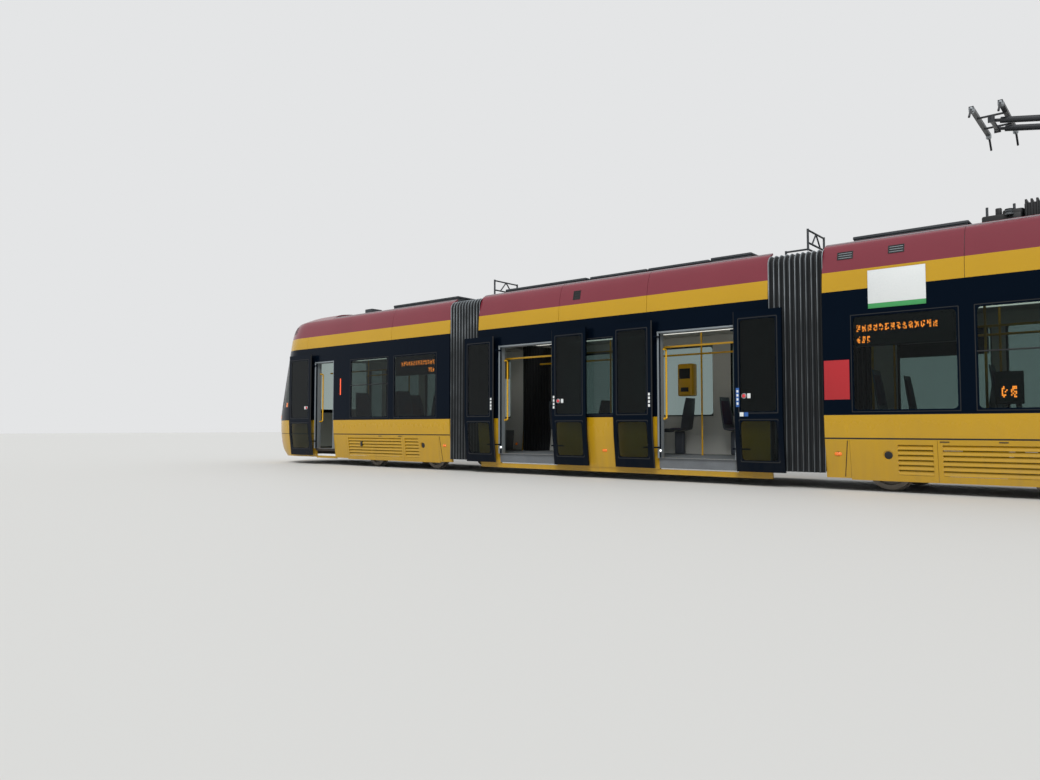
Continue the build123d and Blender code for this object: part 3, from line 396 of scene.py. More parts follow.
def plan(z, w):
    """Points of the skin's outline at heights z, where w runs along it.

    w from -1 to 0 is the straight side, to 0.5 the flank's arc and to 1 the brow's, up to the centre line.
    Above 1 comes the same mirrored to the other side. Returns x from the face and y.
    """
    half, tip, side = form(z)
    way = np.where(w > 1, 1.0, -1.0)
    w = np.where(w > 1, 2 - w, w)
    corner_y, drop, sag = half * (1 - NOSE_INSET), half * NOSE_INSET, half * NOSE_BOW
    run = tip - sag - side
    flank_r = (run ** 2 + drop ** 2) / (2 * drop)
    flank = 2 * np.arctan2(drop, run) * np.clip(w / 0.5, 0, 1)
    brow_r = (corner_y ** 2 + sag ** 2) / (2 * sag)
    brow = np.arcsin(np.clip(corner_y / brow_r, -1, 1)) * (1 - np.clip((w - 0.5) / 0.5, 0, 1))
    x = np.where(w < 0, side * (1 + w), np.where(w < 0.5, side + flank_r * np.sin(flank),
                                                 tip - brow_r * (1 - np.cos(brow))))
    y = np.where(w < 0, half, np.where(w < 0.5, half - flank_r * (1 - np.cos(flank)), brow_r * np.sin(brow)))
    return x, way * y


def rounded_plan(z, w):
    """The outline with its corners rounded: the mean of plan over CORNER_ROUNDING of w to each side."""
    offsets = np.linspace(-CORNER_ROUNDING, CORNER_ROUNDING, 9)
    x, y = plan(z[..., None], w[..., None] + offsets)
    return x.mean(axis=-1), y.mean(axis=-1)


def skin(z, w, inset=0.0):
    """Points of the skin at heights z and places w, moved in along the surface's normal by inset."""
    z, w = np.broadcast_arrays(np.asarray(z, float), np.asarray(w, float))
    x, y = rounded_plan(z, w)
    points = np.stack([x, y, z], axis=-1)
    if np.any(inset):
        points = points - np.asarray(inset)[..., None] * skin_normal(z, w)
    return points + (FACE, 0, 0)


def skin_normal(z, w):
    """Outward normals of the skin: the cross product of its directions along w and up z."""
    z, w = np.broadcast_arrays(np.asarray(z, float), np.asarray(w, float))
    step = 0.002
    x0, y0 = rounded_plan(z, w - step)
    x1, y1 = rounded_plan(z, w + step)
    x2, y2 = rounded_plan(z - step, w)
    x3, y3 = rounded_plan(z, w)
    along = np.stack([x1 - x0, y1 - y0, 0 * x0], axis=-1)
    up = np.stack([x3 - x2, y3 - y2, 0 * x2 + step], axis=-1)
    normal = np.cross(along, up)
    return normal / np.linalg.norm(normal, axis=-1, keepdims=True)


def w_at(z, x=None, half_y=None):
    """Where the outline at each height reaches an x from the face, or a distance from the centre line."""
    z = np.atleast_1d(z)
    w = np.linspace(-1.2, 1, 900)
    px, py = rounded_plan(z[:, None] + 0 * w, w + 0 * z[:, None])
    goal, reached = (x, px) if half_y is None else (-np.asarray(half_y), py)
    goal = np.broadcast_to(goal, z.shape)
    return np.array([np.interp(value, row, w) for value, row in zip(goal, reached)])


def corner_edge(z):
    """The front edge of the driver's side window, which leans back with height."""
    z = np.clip(z, CORNER_LOW, CORNER_HIGH)
    return w_at(z, x=CORNER_X - 0.20 * (z - CORNER_LOW) / (CORNER_HIGH - CORNER_LOW))


# Column bounds from the side to the centre line, with the number of faces up to the next one
COLUMN_BOUNDS = [
    lambda z: w_at(np.minimum(z, BAND_TOP), x=NOSE_SPLIT),
    lambda z: w_at(np.minimum(z, BAND_TOP), x=PILLAR_EDGE),
    corner_edge,
    lambda z: w_at(np.minimum(z, SCREEN_TOP), half_y=SCREEN_HALF),
    lambda z: w_at(np.minimum(z, SCREEN_TOP), half_y=PANEL_HALF),
    lambda z: np.ones_like(z),
]
COLUMN_FACES = [2, 10, 8, 10, 10]
# Row bounds, with the number of faces up to the next one
ROW_BOUNDS = [SKIRT_BOTTOM, GROOVE_LOW, GROOVE_HIGH, BELT, PANEL_TOP, SCREEN_FOOT, CORNER_LOW, CORNER_HIGH,
              CANT, SCREEN_TOP, BAND_TOP, FAIRING_TOP, CROWN]
ROW_FACES = [9, 1, 5, 3, 1, 2, 18, 3, 4, 1, 12, 16]


def heights(first, last):
    """Heights from one row bound to another, evenly spaced along the levels' table between bounds."""
    at = np.interp(ROW_BOUNDS, FORM[:, 0], STEPS)
    rows = [np.linspace(at[i], at[i + 1], ROW_FACES[i] + 1)[1:] for i in range(first, last)]
    return np.interp(np.concatenate([[at[first]], *rows]), STEPS, FORM[:, 0])


def bound(k, z):
    """Where column bound k lies at heights z; the bounds above 5 are the far side's, in mirror order."""
    return COLUMN_BOUNDS[k](z) if k <= 5 else 2 - COLUMN_BOUNDS[10 - k](z)


def spans(edges, faces):
    """Places between neighbouring edges, each row of the grid divided evenly into given numbers of faces."""
    parts = [edges[0][:, None]]
    for a, b, n in zip(edges, edges[1:], faces):
        parts.append(a[:, None] + (b - a)[:, None] * np.linspace(0, 1, n + 1)[1:])
    return np.concatenate(parts, axis=1)


def quads(rows, columns, wrap=False):
    """Four-sided faces of a grid of points; wrap joins its last column to its first."""
    r, c = np.meshgrid(np.arange(rows - 1), np.arange(columns if wrap else columns - 1), indexing="ij")
    right = (c + 1) % columns
    corners = [r * columns + c, r * columns + right, (r + 1) * columns + right, (r + 1) * columns + c]
    return np.stack(corners, axis=-1).reshape(-1, 4)


def sheet(points, wrap=False):
    """A grid of points as a surface."""
    return points.reshape(-1, 3), quads(points.shape[0], points.shape[1], wrap).tolist()


def capped(points):
    """Rings of points joined into a closed solid, its first and last rings filled."""
    rows, columns = points.shape[:2]
    faces = quads(rows, columns, wrap=True).tolist()
    faces += [list(range(columns))[::-1], list(range((rows - 1) * columns, rows * columns))]
    return points.reshape(-1, 3), faces


def places(z, columns=(0, 10)):
    """Places along the outline at each height, from one column bound to another, all of them unless told."""
    edges = [bound(k, z) for k in range(columns[0], columns[1] + 1)]
    return spans(edges, [COLUMN_FACES[min(k, 9 - k)] for k in range(*columns)])


def patch(rows, columns, inset=0.0):
    """The skin between two row bounds and two column bounds."""
    z = heights(*rows)
    return sheet(skin(z[:, None], places(z, columns), inset))


def side_patch(rows, x, faces=8, inset=0.0):
    """The skin of the door side between two lengths from the face, and two row bounds or two heights."""
    z = heights(*rows) if isinstance(rows[0], int) else np.linspace(*rows, 7)
    return sheet(skin(z[:, None], spans([w_at(z, x=x[0]), w_at(z, x=x[1])], [faces]), inset))


def flipped(part):
    """A part with its faces turned the other way."""
    return part[0], [face[::-1] for face in part[1]]


def over(part, axis=1):
    """A part mirrored across the tram, or along it for the rear section, its faces turned back outwards."""
    return flipped((part[0] * np.where(np.arange(3) == axis, -1, 1), part[1]))


def both_sides(parts):
    """Parts of the door side, and the same mirrored to the far side."""
    return parts + [over(part) for part in parts]


# Making pieces

def link(name, data):
    """A mesh, light or camera as an object of the scene."""
    thing = bpy.data.objects.new(name, data)
    bpy.context.scene.collection.objects.link(thing)
    return thing


def piece(name, body, finish, parts, wall=0.0, sharp=32, slot=None, replaces=(), solid=True, crest=None):
    """A finished object from parts, each points and faces: joined, shaded smooth and riding on a body.

    wall thickens open sheets inwards. Without a wall the parts are closed and their faces turned outwards, or
    with solid off they are sheets with no thickness, kept as they come.
    """
    counts = np.cumsum([0] + [len(points) for points, _ in parts])
    points = np.concatenate([p for p, _ in parts]) + (0, 0, RAIL)
    faces = [[i + first for i in face] for (_, some), first in zip(parts, counts) for face in some]
    mesh = bpy.data.meshes.new(name)
    mesh.from_pydata(points, [], faces)
    if crest is not None:
        mesh.attributes.new("crest", "FLOAT", "POINT").data.foreach_set("value", crest)
    shape = bmesh.new()
    shape.from_mesh(mesh)
    bmesh.ops.remove_doubles(shape, verts=shape.verts, dist=0.00002)
    if solid and not wall:
        bmesh.ops.recalc_face_normals(shape, faces=shape.faces)
    shape.to_mesh(mesh)
    shape.free()
    mesh.polygons.foreach_set("use_smooth", np.ones(len(mesh.polygons), bool))
    mesh.set_sharp_from_angle(angle=math.radians(sharp))
    mesh.materials.append(finish)
    thing = link(name, mesh)
    if wall:
        modifier = thing.modifiers.new("wall", "SOLIDIFY")
        modifier.thickness, modifier.offset = wall, -1
        thing.modifiers.new("edges", "EDGE_SPLIT").split_angle = math.radians(sharp)
    if body:
        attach(thing, body)
    if replaces:
        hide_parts(*replaces)
    return thing


def at_both_ends(name, finish, parts, replaces=(), **more):
    """The same piece on the front section, and its mirror image on the rear one."""
    for end in ("front", "rear"):
        own = parts if end == "front" else [over(part, axis=0) for part in parts]
        piece(f"{end}_{name}", end, finish, own, replaces=[f"{end}_{node}" for node in replaces], **more)


def on_middle(name, finish, parts, **more):
    """A piece of the middle section."""
    piece(f"middle_{name}", "middle", finish, parts, **more)


def on_each(name, finish, ends, middle, **more):
    """One kind of fitting: the parts of an end section at both ends, and the middle section's own."""
    at_both_ends(name, finish, ends, **more)
    on_middle(name, finish, middle, **more)


def rounded(a, b, r, n=6):
    """A rectangle's outline between corners a and b, its corners rounded by quarter circles of radius r."""
    turn = np.linspace(0, math.pi / 2, n)
    centres = [(b[0] - r, b[1] - r, 0), (a[0] + r, b[1] - r, 1),
               (a[0] + r, a[1] + r, 2), (b[0] - r, a[1] + r, 3)]
    arcs = [np.stack([x + r * np.cos(turn + k * math.pi / 2), y + r * np.sin(turn + k * math.pi / 2)], axis=1)
            for x, y, k in centres]
    return np.concatenate(arcs)


def ring(rings):
    """A closed band of surface through several outlines, each as many points in space, back to the first."""
    return sheet(np.stack(rings + rings[:1]), wrap=True)


def on_side(outline, out, side=-1, lean=False):
    """Outline points, length and height, placed on a side wall and moved outwards.

    A leaning one follows the body's half width at each height.
    """
    x, z = outline[:, 0], outline[:, 1]
    half = np.interp(z, LEVELS[:, 0], LEVELS[:, 1]) if lean else HALF
    return np.stack([x, side * (half + out + 0 * x), z], axis=1)


def frame_ring(x, z, outer, inner, corners, depths, side=-1, lean=False):
    """A flat frame round an opening: outlines set out and in from its edges, with a front and a back."""
    big = rounded((x[0] - outer, z[0] - outer), (x[1] + outer, z[1] + outer), corners[0])
    small = rounded((x[0] + inner, z[0] + inner), (x[1] - inner, z[1] - inner), corners[1])
    return ring([on_side(big, depths[0], side, lean), on_side(big, depths[1], side, lean),
                 on_side(small, depths[1], side, lean), on_side(small, depths[0], side, lean)])


def case(x, y, z, r=0.01, axis=2):
    """A box with rounded edges: outlines stacked along an axis, drawn in at both ends by a quarter circle."""
    sides = [x, y, z]
    flat = [sides[k] for k in range(3) if k != axis]
    turn = np.linspace(0, math.pi / 2, 4)
    low, high = sides[axis]
    insets = np.concatenate([r * (1 - np.sin(turn)), r * (1 - np.cos(turn))])
    levels = np.concatenate([low + r * (1 - np.cos(turn)), high - r * (1 - np.sin(turn))])
    rings = []
    for inset, level in zip(insets, levels):
        a, b = (flat[0][0] + inset, flat[1][0] + inset), (flat[0][1] - inset, flat[1][1] - inset)
        rings.append(np.insert(rounded(a, b, max(2 * r - inset, 0.001), 4), axis, level, axis=1))
    return capped(np.stack(rings))


def turned(profile, centre, axis, sides=32):
    """A profile of radius and height turned about an axis through a centre."""
    axis = np.asarray(axis, float) / np.linalg.norm(axis)
    across = np.cross(axis, (0, 0, 1.0) if abs(axis[2]) < 0.9 else (1.0, 0, 0))
    across /= np.linalg.norm(across)
    third = np.cross(axis, across)
    angle = np.linspace(0, 2 * math.pi, sides, endpoint=False)
    circle = np.cos(angle)[:, None] * across + np.sin(angle)[:, None] * third
    profile = np.asarray(profile, float)
    return capped(np.asarray(centre) + profile[:, :1, None] * circle + profile[:, 1:, None] * axis)


def tube(path, radius, sides=12):
    """A round tube along a path in one plane: circles across its direction, square to the plane's normal."""
    path = np.asarray(path, float)
    along = np.gradient(path, axis=0)
    along /= np.linalg.norm(along, axis=1, keepdims=True)
    plane = np.linalg.svd(path - path.mean(axis=0))[2][2]
    across = np.cross(along, plane)
    across /= np.linalg.norm(across, axis=1, keepdims=True)
    angle = np.linspace(0, 2 * math.pi, sides, endpoint=False)[:, None, None]
    rings = path + radius * (np.cos(angle) * across + np.sin(angle) * np.cross(along, across))
    return capped(np.swapaxes(rings, 0, 1))


def bent(corners, r, n=7):
    """A path through corners, each replaced by a curve that starts and ends r away from it.

    The curve's points are the quadratic blend of the three points that make the corner.
    """
    corners = np.asarray(corners, float)
    t = np.linspace(0, 1, n)[:, None]
    path = [corners[:1]]
    for before, at, after in zip(corners, corners[1:], corners[2:]):
        a = at + r * (before - at) / np.linalg.norm(before - at)
        b = at + r * (after - at) / np.linalg.norm(after - at)
        path.append((1 - t) ** 2 * a + 2 * t * (1 - t) * at + t ** 2 * b)
    return np.concatenate(path + [corners[-1:]])


# The nose: bumper, mask, glass, band and cap

# The groove round the bumper is 10 mm deep, with its edges a tenth of a millimetre inside its bounds
z = np.concatenate([heights(0, 1), [GROOVE_LOW + 0.0001, GROOVE_HIGH - 0.0001], heights(2, 3)])
groove = np.where((z > GROOVE_LOW) & (z < GROOVE_HIGH), 0.010, 0.0)
bumper = skin(z[:, None], places(z), groove[:, None])
at_both_ends("bumper_shell", YELLOW, [sheet(bumper), patch((3, 4), (4, 6))], wall=SKIN, slot="yellow_paint",
             replaces=["bumper"])

# The mask's patches, each by its first and last row bound and column bound
mask_parts = [patch((low, high), (left, right)) for low, high, left, right in
              ((3, 4, 0, 4), (3, 4, 6, 10), (4, 5, 0, 10), (5, 6, 0, 3), (5, 6, 7, 10), (6, 8, 0, 1),
               (6, 8, 9, 10), (6, 8, 2, 3), (6, 8, 7, 8), (7, 8, 1, 2), (7, 8, 8, 9))]
at_both_ends("nose_mask_shell", BLACK, mask_parts, wall=SKIN, slot="black_paint", replaces=["nose_mask"])

screen_parts = [patch((5, 9), (3, 7), 0.006), patch((6, 7), (1, 2), 0.006), patch((6, 7), (8, 9), 0.006)]
at_both_ends("windscreen_glass", SCREEN, screen_parts, wall=0.008, slot="tinted_glass",
             replaces=["windscreen"])

# Band and cap are cut by open seams
first, second = END_SEAMS
band = [patch((8, 10), (0, 3)), side_patch((8, 10), (0, first - SEAM_HALF)),
        side_patch((8, 10), (first + SEAM_HALF, second - SEAM_HALF)),
        side_patch((8, 10), (second + SEAM_HALF, NOSE_SPLIT), 4)]
at_both_ends("cant_band", YELLOW, both_sides(band), wall=SKIN, slot="yellow_paint")

cap = [patch((9, 10), (3, 7)), patch((10, 12), (0, 10))]
z = heights(10, 12)
cap_side = skin(z[:, None], spans([w_at(z, x=TRAY_END), bound(0, z)], [8]))
cap += both_sides([sheet(cap_side), side_patch((10, 11), (0, first - SEAM_HALF)),
                   side_patch((10, 11), (first + SEAM_HALF, TRAY_END))])
at_both_ends("roof_skin", RED, cap, wall=SKIN, slot="red_paint", replaces=["roof"])

# A dark bulkhead closes the cap behind, and dark strips lie behind the seams
z = heights(10, 12)[:-1]
left = skin(z, w_at(z, x=TRAY_END + 0.01), 0.02)
bulkhead = sheet(np.stack([left, left * (1, -1, 1)], axis=1))
seam_backs = both_sides([side_patch(rows, (seam - 0.02, seam + 0.02), 2, 0.012)
                         for rows, seam in (((8, 11), first), ((8, 10), second))])
at_both_ends("cap_bulkhead", PLASTIC, [bulkhead] + seam_backs, wall=0.004)


def slab(x_end, z, inset=WALL):
    """A flat plate in the end section: the skin's outline at its top, cut off at a length from the face."""
    top = np.array([z[1]])
    w = np.linspace(-1, w_at(top, x=x_end)[0], 24)
    edge = skin(z[1], w, inset)
    outline = np.concatenate([edge, (edge * (1, -1, 1))[::-1]])
    low = outline.copy()
    low[:, 2] = z[0]
    return capped(np.stack([low, outline]))


ceiling_z, deck_z = (CEILING, CEILING + CEILING_PLATE), (DECK - DECK_PLATE, DECK)
closing = case((FACE + CEILING_END - 0.01, FACE + CEILING_END + 0.02), (-1.1, 1.1), (CEILING, deck_z[0]),
               0.004)
middle_xy = (-MIDDLE_HALF, MIDDLE_HALF), (-ROOF_HALF, ROOF_HALF)
on_each("ceiling", LAMINATE, [slab(CEILING_END, ceiling_z), closing], [case(*middle_xy, ceiling_z, 0.004)])
on_each("roof_deck", WALKWAY, [slab(DECK_END, deck_z)], [case(*middle_xy, deck_z, 0.004)])

# Middle section roof: the same side profile carried straight through, in three lengths with open seams
z_band, z_top = heights(8, 10), heights(10, 11)


def side_run(z, x, inset=0.0):
    """The body's side profile carried straight between two places along X, on the door side."""
    ends = np.linspace(*x, 5)
    half = form(z)[0] - inset
    return sheet(np.stack(np.broadcast_arrays(ends, -half[:, None], z[:, None]), axis=-1))


cuts = [-MIDDLE_HALF, *MIDDLE_SEAMS, MIDDLE_HALF]
lengths = [(a + SEAM_HALF, b - SEAM_HALF) for a, b in zip(cuts, cuts[1:])]
on_middle("cant_band", YELLOW, both_sides([side_run(z_band, x) for x in lengths]), wall=SKIN,
          slot="yellow_paint")
on_middle("roof_skin", RED, both_sides([side_run(z_top, x) for x in lengths]), wall=SKIN,
          slot="red_paint", replaces=["middle_roof"])
backs = both_sides([side_run(heights(8, 11), (x - 0.02, x + 0.02), 0.012) for x in MIDDLE_SEAMS])
on_middle("seam_backs", PLASTIC, backs, wall=0.004)

# Slots in each upper corner of the cap
slots = [side_patch((3.11, 3.29), (x, x + 0.028), 2, -0.0015) for x in 5.36 + 0.068 * np.arange(5)]
at_both_ends("cap_slots", PLASTIC, both_sides(slots), wall=0.003)


# Lamps on the nose

def on_nose(z, y):
    """The skin's point and outward normal at a height and a place across; the door side has negative y."""
    w = w_at(np.array([z]), half_y=abs(y))
    w = w if y < 0 else 2 - w
    return skin(z, w)[0], skin_normal(z, w)[0]


BEZEL = [(0.0, -0.02), (0.064, -0.02), (0.066, 0.004), (0.062, 0.009), (0.056, 0.007), (0.054, 0.001),
         (0.0, 0.0)]
LENS = [(0.0, -0.01), (0.053, -0.008), (0.052, 0.003), (0.042, 0.009), (0.022, 0.013), (0.0, 0.0145)]
bezels, lenses = [], []
for y in (-0.70, -0.56, 0.56, 0.70):
    point, normal = on_nose(LAMP_Z, y)
    bezels.append(turned(BEZEL, point, normal))
    lenses.append(turned(LENS, point, normal))
at_both_ends("lamp_bezels", ALUMINIUM, bezels)
at_both_ends("lamp_lenses", CLEAR, lenses, slot="lamp_lens", replaces=["lamps"])


def nose_ribbon(z, y, out, rows=28, columns=2):
    """A ribbon on the door side of the nose: heights z, and at each the distances y from the centre line."""
    z = np.linspace(*z, rows)
    edges = [w_at(z, half_y=y[0]), w_at(z, half_y=y[1])]
    return sheet(skin(z[:, None], spans(edges, [columns]), -out))


indicator = nose_ribbon((1.055, 1.135), (1.02, 0.86), 0.004, 5, 12)
at_both_ends("end_indicators", AMBER, both_sides([indicator]), wall=0.014)
# The reflectors' faint glow is painted light, as they are no lamps
reflector = nose_ribbon((0.45, 0.53), (0.98, 0.90), 0.004, 5, 12)
at_both_ends("corner_reflectors", RUBY_PAINTED_GLOW, both_sides([reflector]), wall=0.008)
cover = skin(np.linspace(0.54, 0.66, 4)[:, None], np.linspace(0.97, 1.03, 5), -0.004)
at_both_ends("tow_cover", PLASTIC, [sheet(cover)], wall=0.01)


def marker(x, z, height, r):
    """A domed oval lamp low on the door side: outlines that shrink by k as they rise on a quarter circle."""
    oval = rounded((-0.05, -height / 2), (0.05, height / 2), r)
    return capped(np.stack([on_side(oval * k + (x, z), 0.002 + 0.014 * math.sqrt(1 - k * k), lean=True)
                            for k in (0.999, 0.9, 0.7, 0.4, 0.02)]))


at_both_ends("side_markers", AMBER, both_sides([marker(FACE + 0.17, 0.476, 0.048, 0.0235)]))
on_middle("side_marker", AMBER, [marker(0, 0.4525, 0.045, 0.021)])


# Glass surrounds, gaskets and signs along the sides

def surrounds(near, far, offset):
    """For each window a black printed border with rounded inner corners, and a seal in the gap round it.

    near are the windows of the door side and far the others, both counted along X from offset.
    """
    prints, seals = [], []
    for side, (a, b) in [(-1, window) for window in near] + [(1, window) for window in far]:
        x, z = (offset + a, offset + b), (SILL, WINDOW_TOP)
        prints.append(frame_ring(x, z, -0.004, 0.026, (0.004, 0.055), (-0.006, 0.0005), side))
        seals.append(frame_ring(x, z, 0.006, 0.004, (0.008, 0.006), (-0.01, 0.0022), side))
    return prints, seals


end_prints, end_seals = surrounds(END_WINDOWS, FAR_WINDOWS, FACE)
middle_prints, middle_seals = surrounds(MIDDLE_WINDOWS, MIDDLE_FAR_WINDOWS, 0)
on_each("glass_borders", BLACK, end_prints, middle_prints)
on_each("window_seals", SEAL, end_seals, middle_seals)

# Transom of the second window, with its opening upper light
transom = [case((FACE + 1.87, FACE + 3.14), (-1.1765, -1.150), (1.772, 1.790), 0.003)]
at_both_ends("window_transom", PLASTIC, transom)


# Doors

LEAF_PANE = (SILL, LEAF_TOP - 0.11)
LEAF_PANEL = (STEP_BOTTOM + 0.15, BELT - 0.06)


def leaf_fittings(leaves):
    """Borders of the panes and panels of some leaves, and their seals with a rubber lip down each free edge.

    Each leaf is two places along X and +1 where its free edge is the second, -1 where it is the first.
    """
    borders, seals, lips = [], [], []
    z = np.array([STEP_BOTTOM, 0.32, GROOVE, BELT, LEAF_TOP])
    for (a, b), free in leaves:
        inner = (a + LEAF_FRAME, b - LEAF_FRAME)
        for pane in (LEAF_PANE, LEAF_PANEL):
            borders.append(frame_ring(inner, pane, -0.002, 0.02, (0.004, 0.05),
                                      (LEAF_OUT - 0.012, LEAF_OUT - 0.0006), lean=True))
            seals.append(frame_ring(inner, pane, 0.010, 0.004, (0.02, 0.012),
                                    (LEAF_OUT - 0.01, LEAF_OUT + 0.0004), lean=True))
        edge = np.stack([0 * z + (b if free > 0 else a), z], axis=1)
        lips.append(tube(on_side(edge, LEAF_BACK + 0.02, lean=True), 0.016, 10))
    return borders, seals + lips


BUTTON_RING = [(0, -0.01), (0.040, -0.01), (0.040, 0.006), (0.036, 0.010), (0.030, 0.010), (0.028, 0.004),
               (0, 0.004)]
BUTTON_CAP = [(0, -0.005), (0.026, -0.005), (0.026, 0.009), (0.020, 0.013), (0, 0.015)]


def buttons(places_x):
    """Round push buttons on leaves: the rings they sit in, and their caps."""
    return [[turned(profile, (x, -(HALF + LEAF_OUT), 1.30), (0, -1, 0)) for x in places_x]
            for profile in (BUTTON_RING, BUTTON_CAP)]


end_borders, end_seals = leaf_fittings([((FACE + END_LEAF[0], FACE + END_LEAF[1]), -1)])
middle_borders, middle_seals = leaf_fittings(zip(MIDDLE_LEAVES, (1, -1, 1, -1)))
on_each("leaf_seals", SEAL, end_seals, middle_seals)
on_each("leaf_borders", BLACK, end_borders, middle_borders)
rings, caps = buttons((MIDDLE_LEAVES[1][0] + 0.14, MIDDLE_LEAVES[3][0] + 0.15))
on_middle("button_rings", ALUMINIUM, rings)
on_middle("buttons", BUTTON, caps)
rings, caps = buttons([FACE + END_LEAF[0] + 0.12])
at_both_ends("button_ring", ALUMINIUM, rings)
at_both_ends("button", BUTTON, caps)


def portal(x):
    """Lining of a doorway between two places along X: two jambs and a header, with the sill's tread plate."""
    lining = [case((x[0] + 0.001, x[0] + 0.030), (-1.172, -0.990), (FLOOR, DOOR_TOP), 0.006),
              case((x[1] - 0.030, x[1] - 0.001), (-1.172, -0.990), (FLOOR, DOOR_TOP), 0.006),
              case((x[0], x[1]), (-1.172, -0.990), (DOOR_TOP - 0.035, DOOR_TOP - 0.001), 0.006, axis=0)]
    sill = [case((x[0] + 0.002, x[1] - 0.002), (-1.150, -1.060), (FLOOR, FLOOR + 0.006), 0.002, axis=0)]
    edge = [case((x[0] + 0.002, x[1] - 0.002), (-1.050, -1.000), (FLOOR, FLOOR + 0.004), 0.0015, axis=0)]
    return lining, sill, edge


PORTAL_PIECES = (("portal_lining", PORTAL), ("door_sill", ALUMINIUM), ("sill_marking", HANDRAIL))
for (name, finish), parts in zip(PORTAL_PIECES, portal((FACE + END_DOOR[0], FACE + END_DOOR[1]))):
    at_both_ends(name, finish, parts)
for k, x in enumerate(MIDDLE_DOORS):
    for (name, finish), parts in zip(PORTAL_PIECES, portal(x)):
        on_middle(f"{name}_{k}", finish, parts)


# Bellows

def bellows(name, end, way):
    """Folded gangway cover: a hoop with rounded corners carried along the gap, its inset a rounded wave.

    The hoop is open at the bottom between the floor plates. Crests are where the wave is nought.
    """
    folds, depth, half, low, high = 10, 0.060, 1.150, 0.21, 3.368
    u = np.linspace(0, 1, folds * 14 + 1)
    wave = (0.5 - 0.5 * np.cos(2 * math.pi * folds * u)) ** 0.6
    inset = 0.004 + depth * wave
    corner = 0.16
    turn = np.linspace(0, math.pi / 2, 12)
    left = np.stack([np.full(22, -half), np.linspace(low, high - corner, 22)], axis=1)
    arc = np.stack([-half + corner - corner * np.cos(turn), high - corner + corner * np.sin(turn)], axis=1)
    top = np.stack([np.linspace(-half + corner, 0, 10), np.full(10, high)], axis=1)
    side = np.concatenate([left[:-1], arc, top[1:]])
    hoop = np.concatenate([side, (side * (-1, 1))[::-1][1:]])
    along = np.gradient(hoop, axis=0)
    normal = np.stack([-along[:, 1], along[:, 0]], axis=1)
    normal /= np.linalg.norm(normal, axis=1, keepdims=True)
    yz = hoop[None] - inset[:, None, None] * normal[None]
    x = way * (MIDDLE_HALF + 0.002 + (FACE - MIDDLE_HALF - 0.004) * u)
    points = np.concatenate([np.broadcast_to(x[:, None, None], (*yz.shape[:2], 1)), yz], axis=2)
    crest = np.broadcast_to((1 - wave)[:, None] ** 7, yz.shape[:2]).ravel()
    part = flipped(sheet(points)) if way > 0 else sheet(points)
    thing = piece(name, None, BELLOWS, [part], wall=0.006, sharp=80, slot="bellows_rubber", crest=crest)
    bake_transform(thing)
    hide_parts(f"{end}_bellows")


bellows("front_bellows_folds", "front", 1)
bellows("rear_bellows_folds", "rear", -1)


# Trim on the sides

def side_line(z, x, out, side=-1):
    """A flat strip on a side wall between two heights and two places along X."""
    low_high = np.linspace(*z, 3)
    half = np.interp(low_high, LEVELS[:, 0], LEVELS[:, 1]) + out
    x, y, z = np.broadcast_arrays(np.linspace(*x, 3), side * half[:, None], low_high[:, None])
    part = sheet(np.stack([x, y, z], axis=-1))
    return part if side < 0 else flipped(part)


# A joint line along each skirt, a slanted one near the gangway, and the dark foot of the bumper's groove
groove_lines = [side_line((GROOVE - 0.010, GROOVE + 0.010), (FACE + a, FACE + b), 0.0012, side)
                for a, b, side in ((0, END_DOOR[0], -1), (END_DOOR[1], NOSE_SPLIT, -1), (0, NOSE_SPLIT, 1))]
slanted = np.array([(0.296, 0.66), (0.306, 0.66), (0.256, 0.17), (0.246, 0.17)]) + (FACE, 0)
groove_lines += both_sides([(on_side(slanted, 0.0012, lean=True), [[0, 1, 2, 3]])])
z = np.array([GROOVE_LOW + 0.0002, GROOVE_HIGH - 0.0002])
groove_lines.append(sheet(skin(z[:, None], places(z), 0.0075)))
at_both_ends("groove_filler", SEAL, groove_lines, wall=0.002)

belt_z = (BELT - 0.003, BELT + 0.003)
belt_lines = [over(side_line(belt_z, (FACE, FACE + NOSE_SPLIT), 0.0006)),
              side_line(belt_z, (FACE, FACE + END_DOOR[0]), 0.0006)]
at_both_ends("belt_line", SEAL, belt_lines, wall=0.0006)

plates = [case((FACE + a, FACE + b), (-1.1625, -1.150), (0.648, 0.660), 0.002)
          for a, b in ((1.43, 1.54), (2.08, 2.18))]
plates.append(case((FACE + 2.75, FACE + 2.81), (-1.1485, -1.12), (0.43, 0.53), 0.004))
at_both_ends("hatch_latches", PLASTIC, both_sides(plates))

# A round sight hole in each skirt, its cap sunk in a ring
PEEPHOLE = (FACE + 0.81, -1.128, 0.47)
PEEPHOLE_RING = [(0, -0.012), (0.078, -0.012), (0.080, 0.001), (0.076, 0.004), (0.062, 0.003),
                 (0.060, -0.010), (0, -0.010)]
PEEPHOLE_CAP = [(0, -0.03), (0.060, -0.03), (0.058, -0.012), (0.045, -0.008), (0, -0.006)]
for name, finish, profile in (("rings", YELLOW, PEEPHOLE_RING), ("caps", PLASTIC, PEEPHOLE_CAP)):
    at_both_ends(f"peephole_{name}", finish, both_sides([turned(profile, PEEPHOLE, (0, -1, -0.1))]))

# Door lights on the wall beside each end doorway
strip_light = case((FACE + 3.488, FACE + 3.512), (-1.183, -1.170), (1.58, 1.95), 0.005)
at_both_ends("door_lights", GLOW, [strip_light])

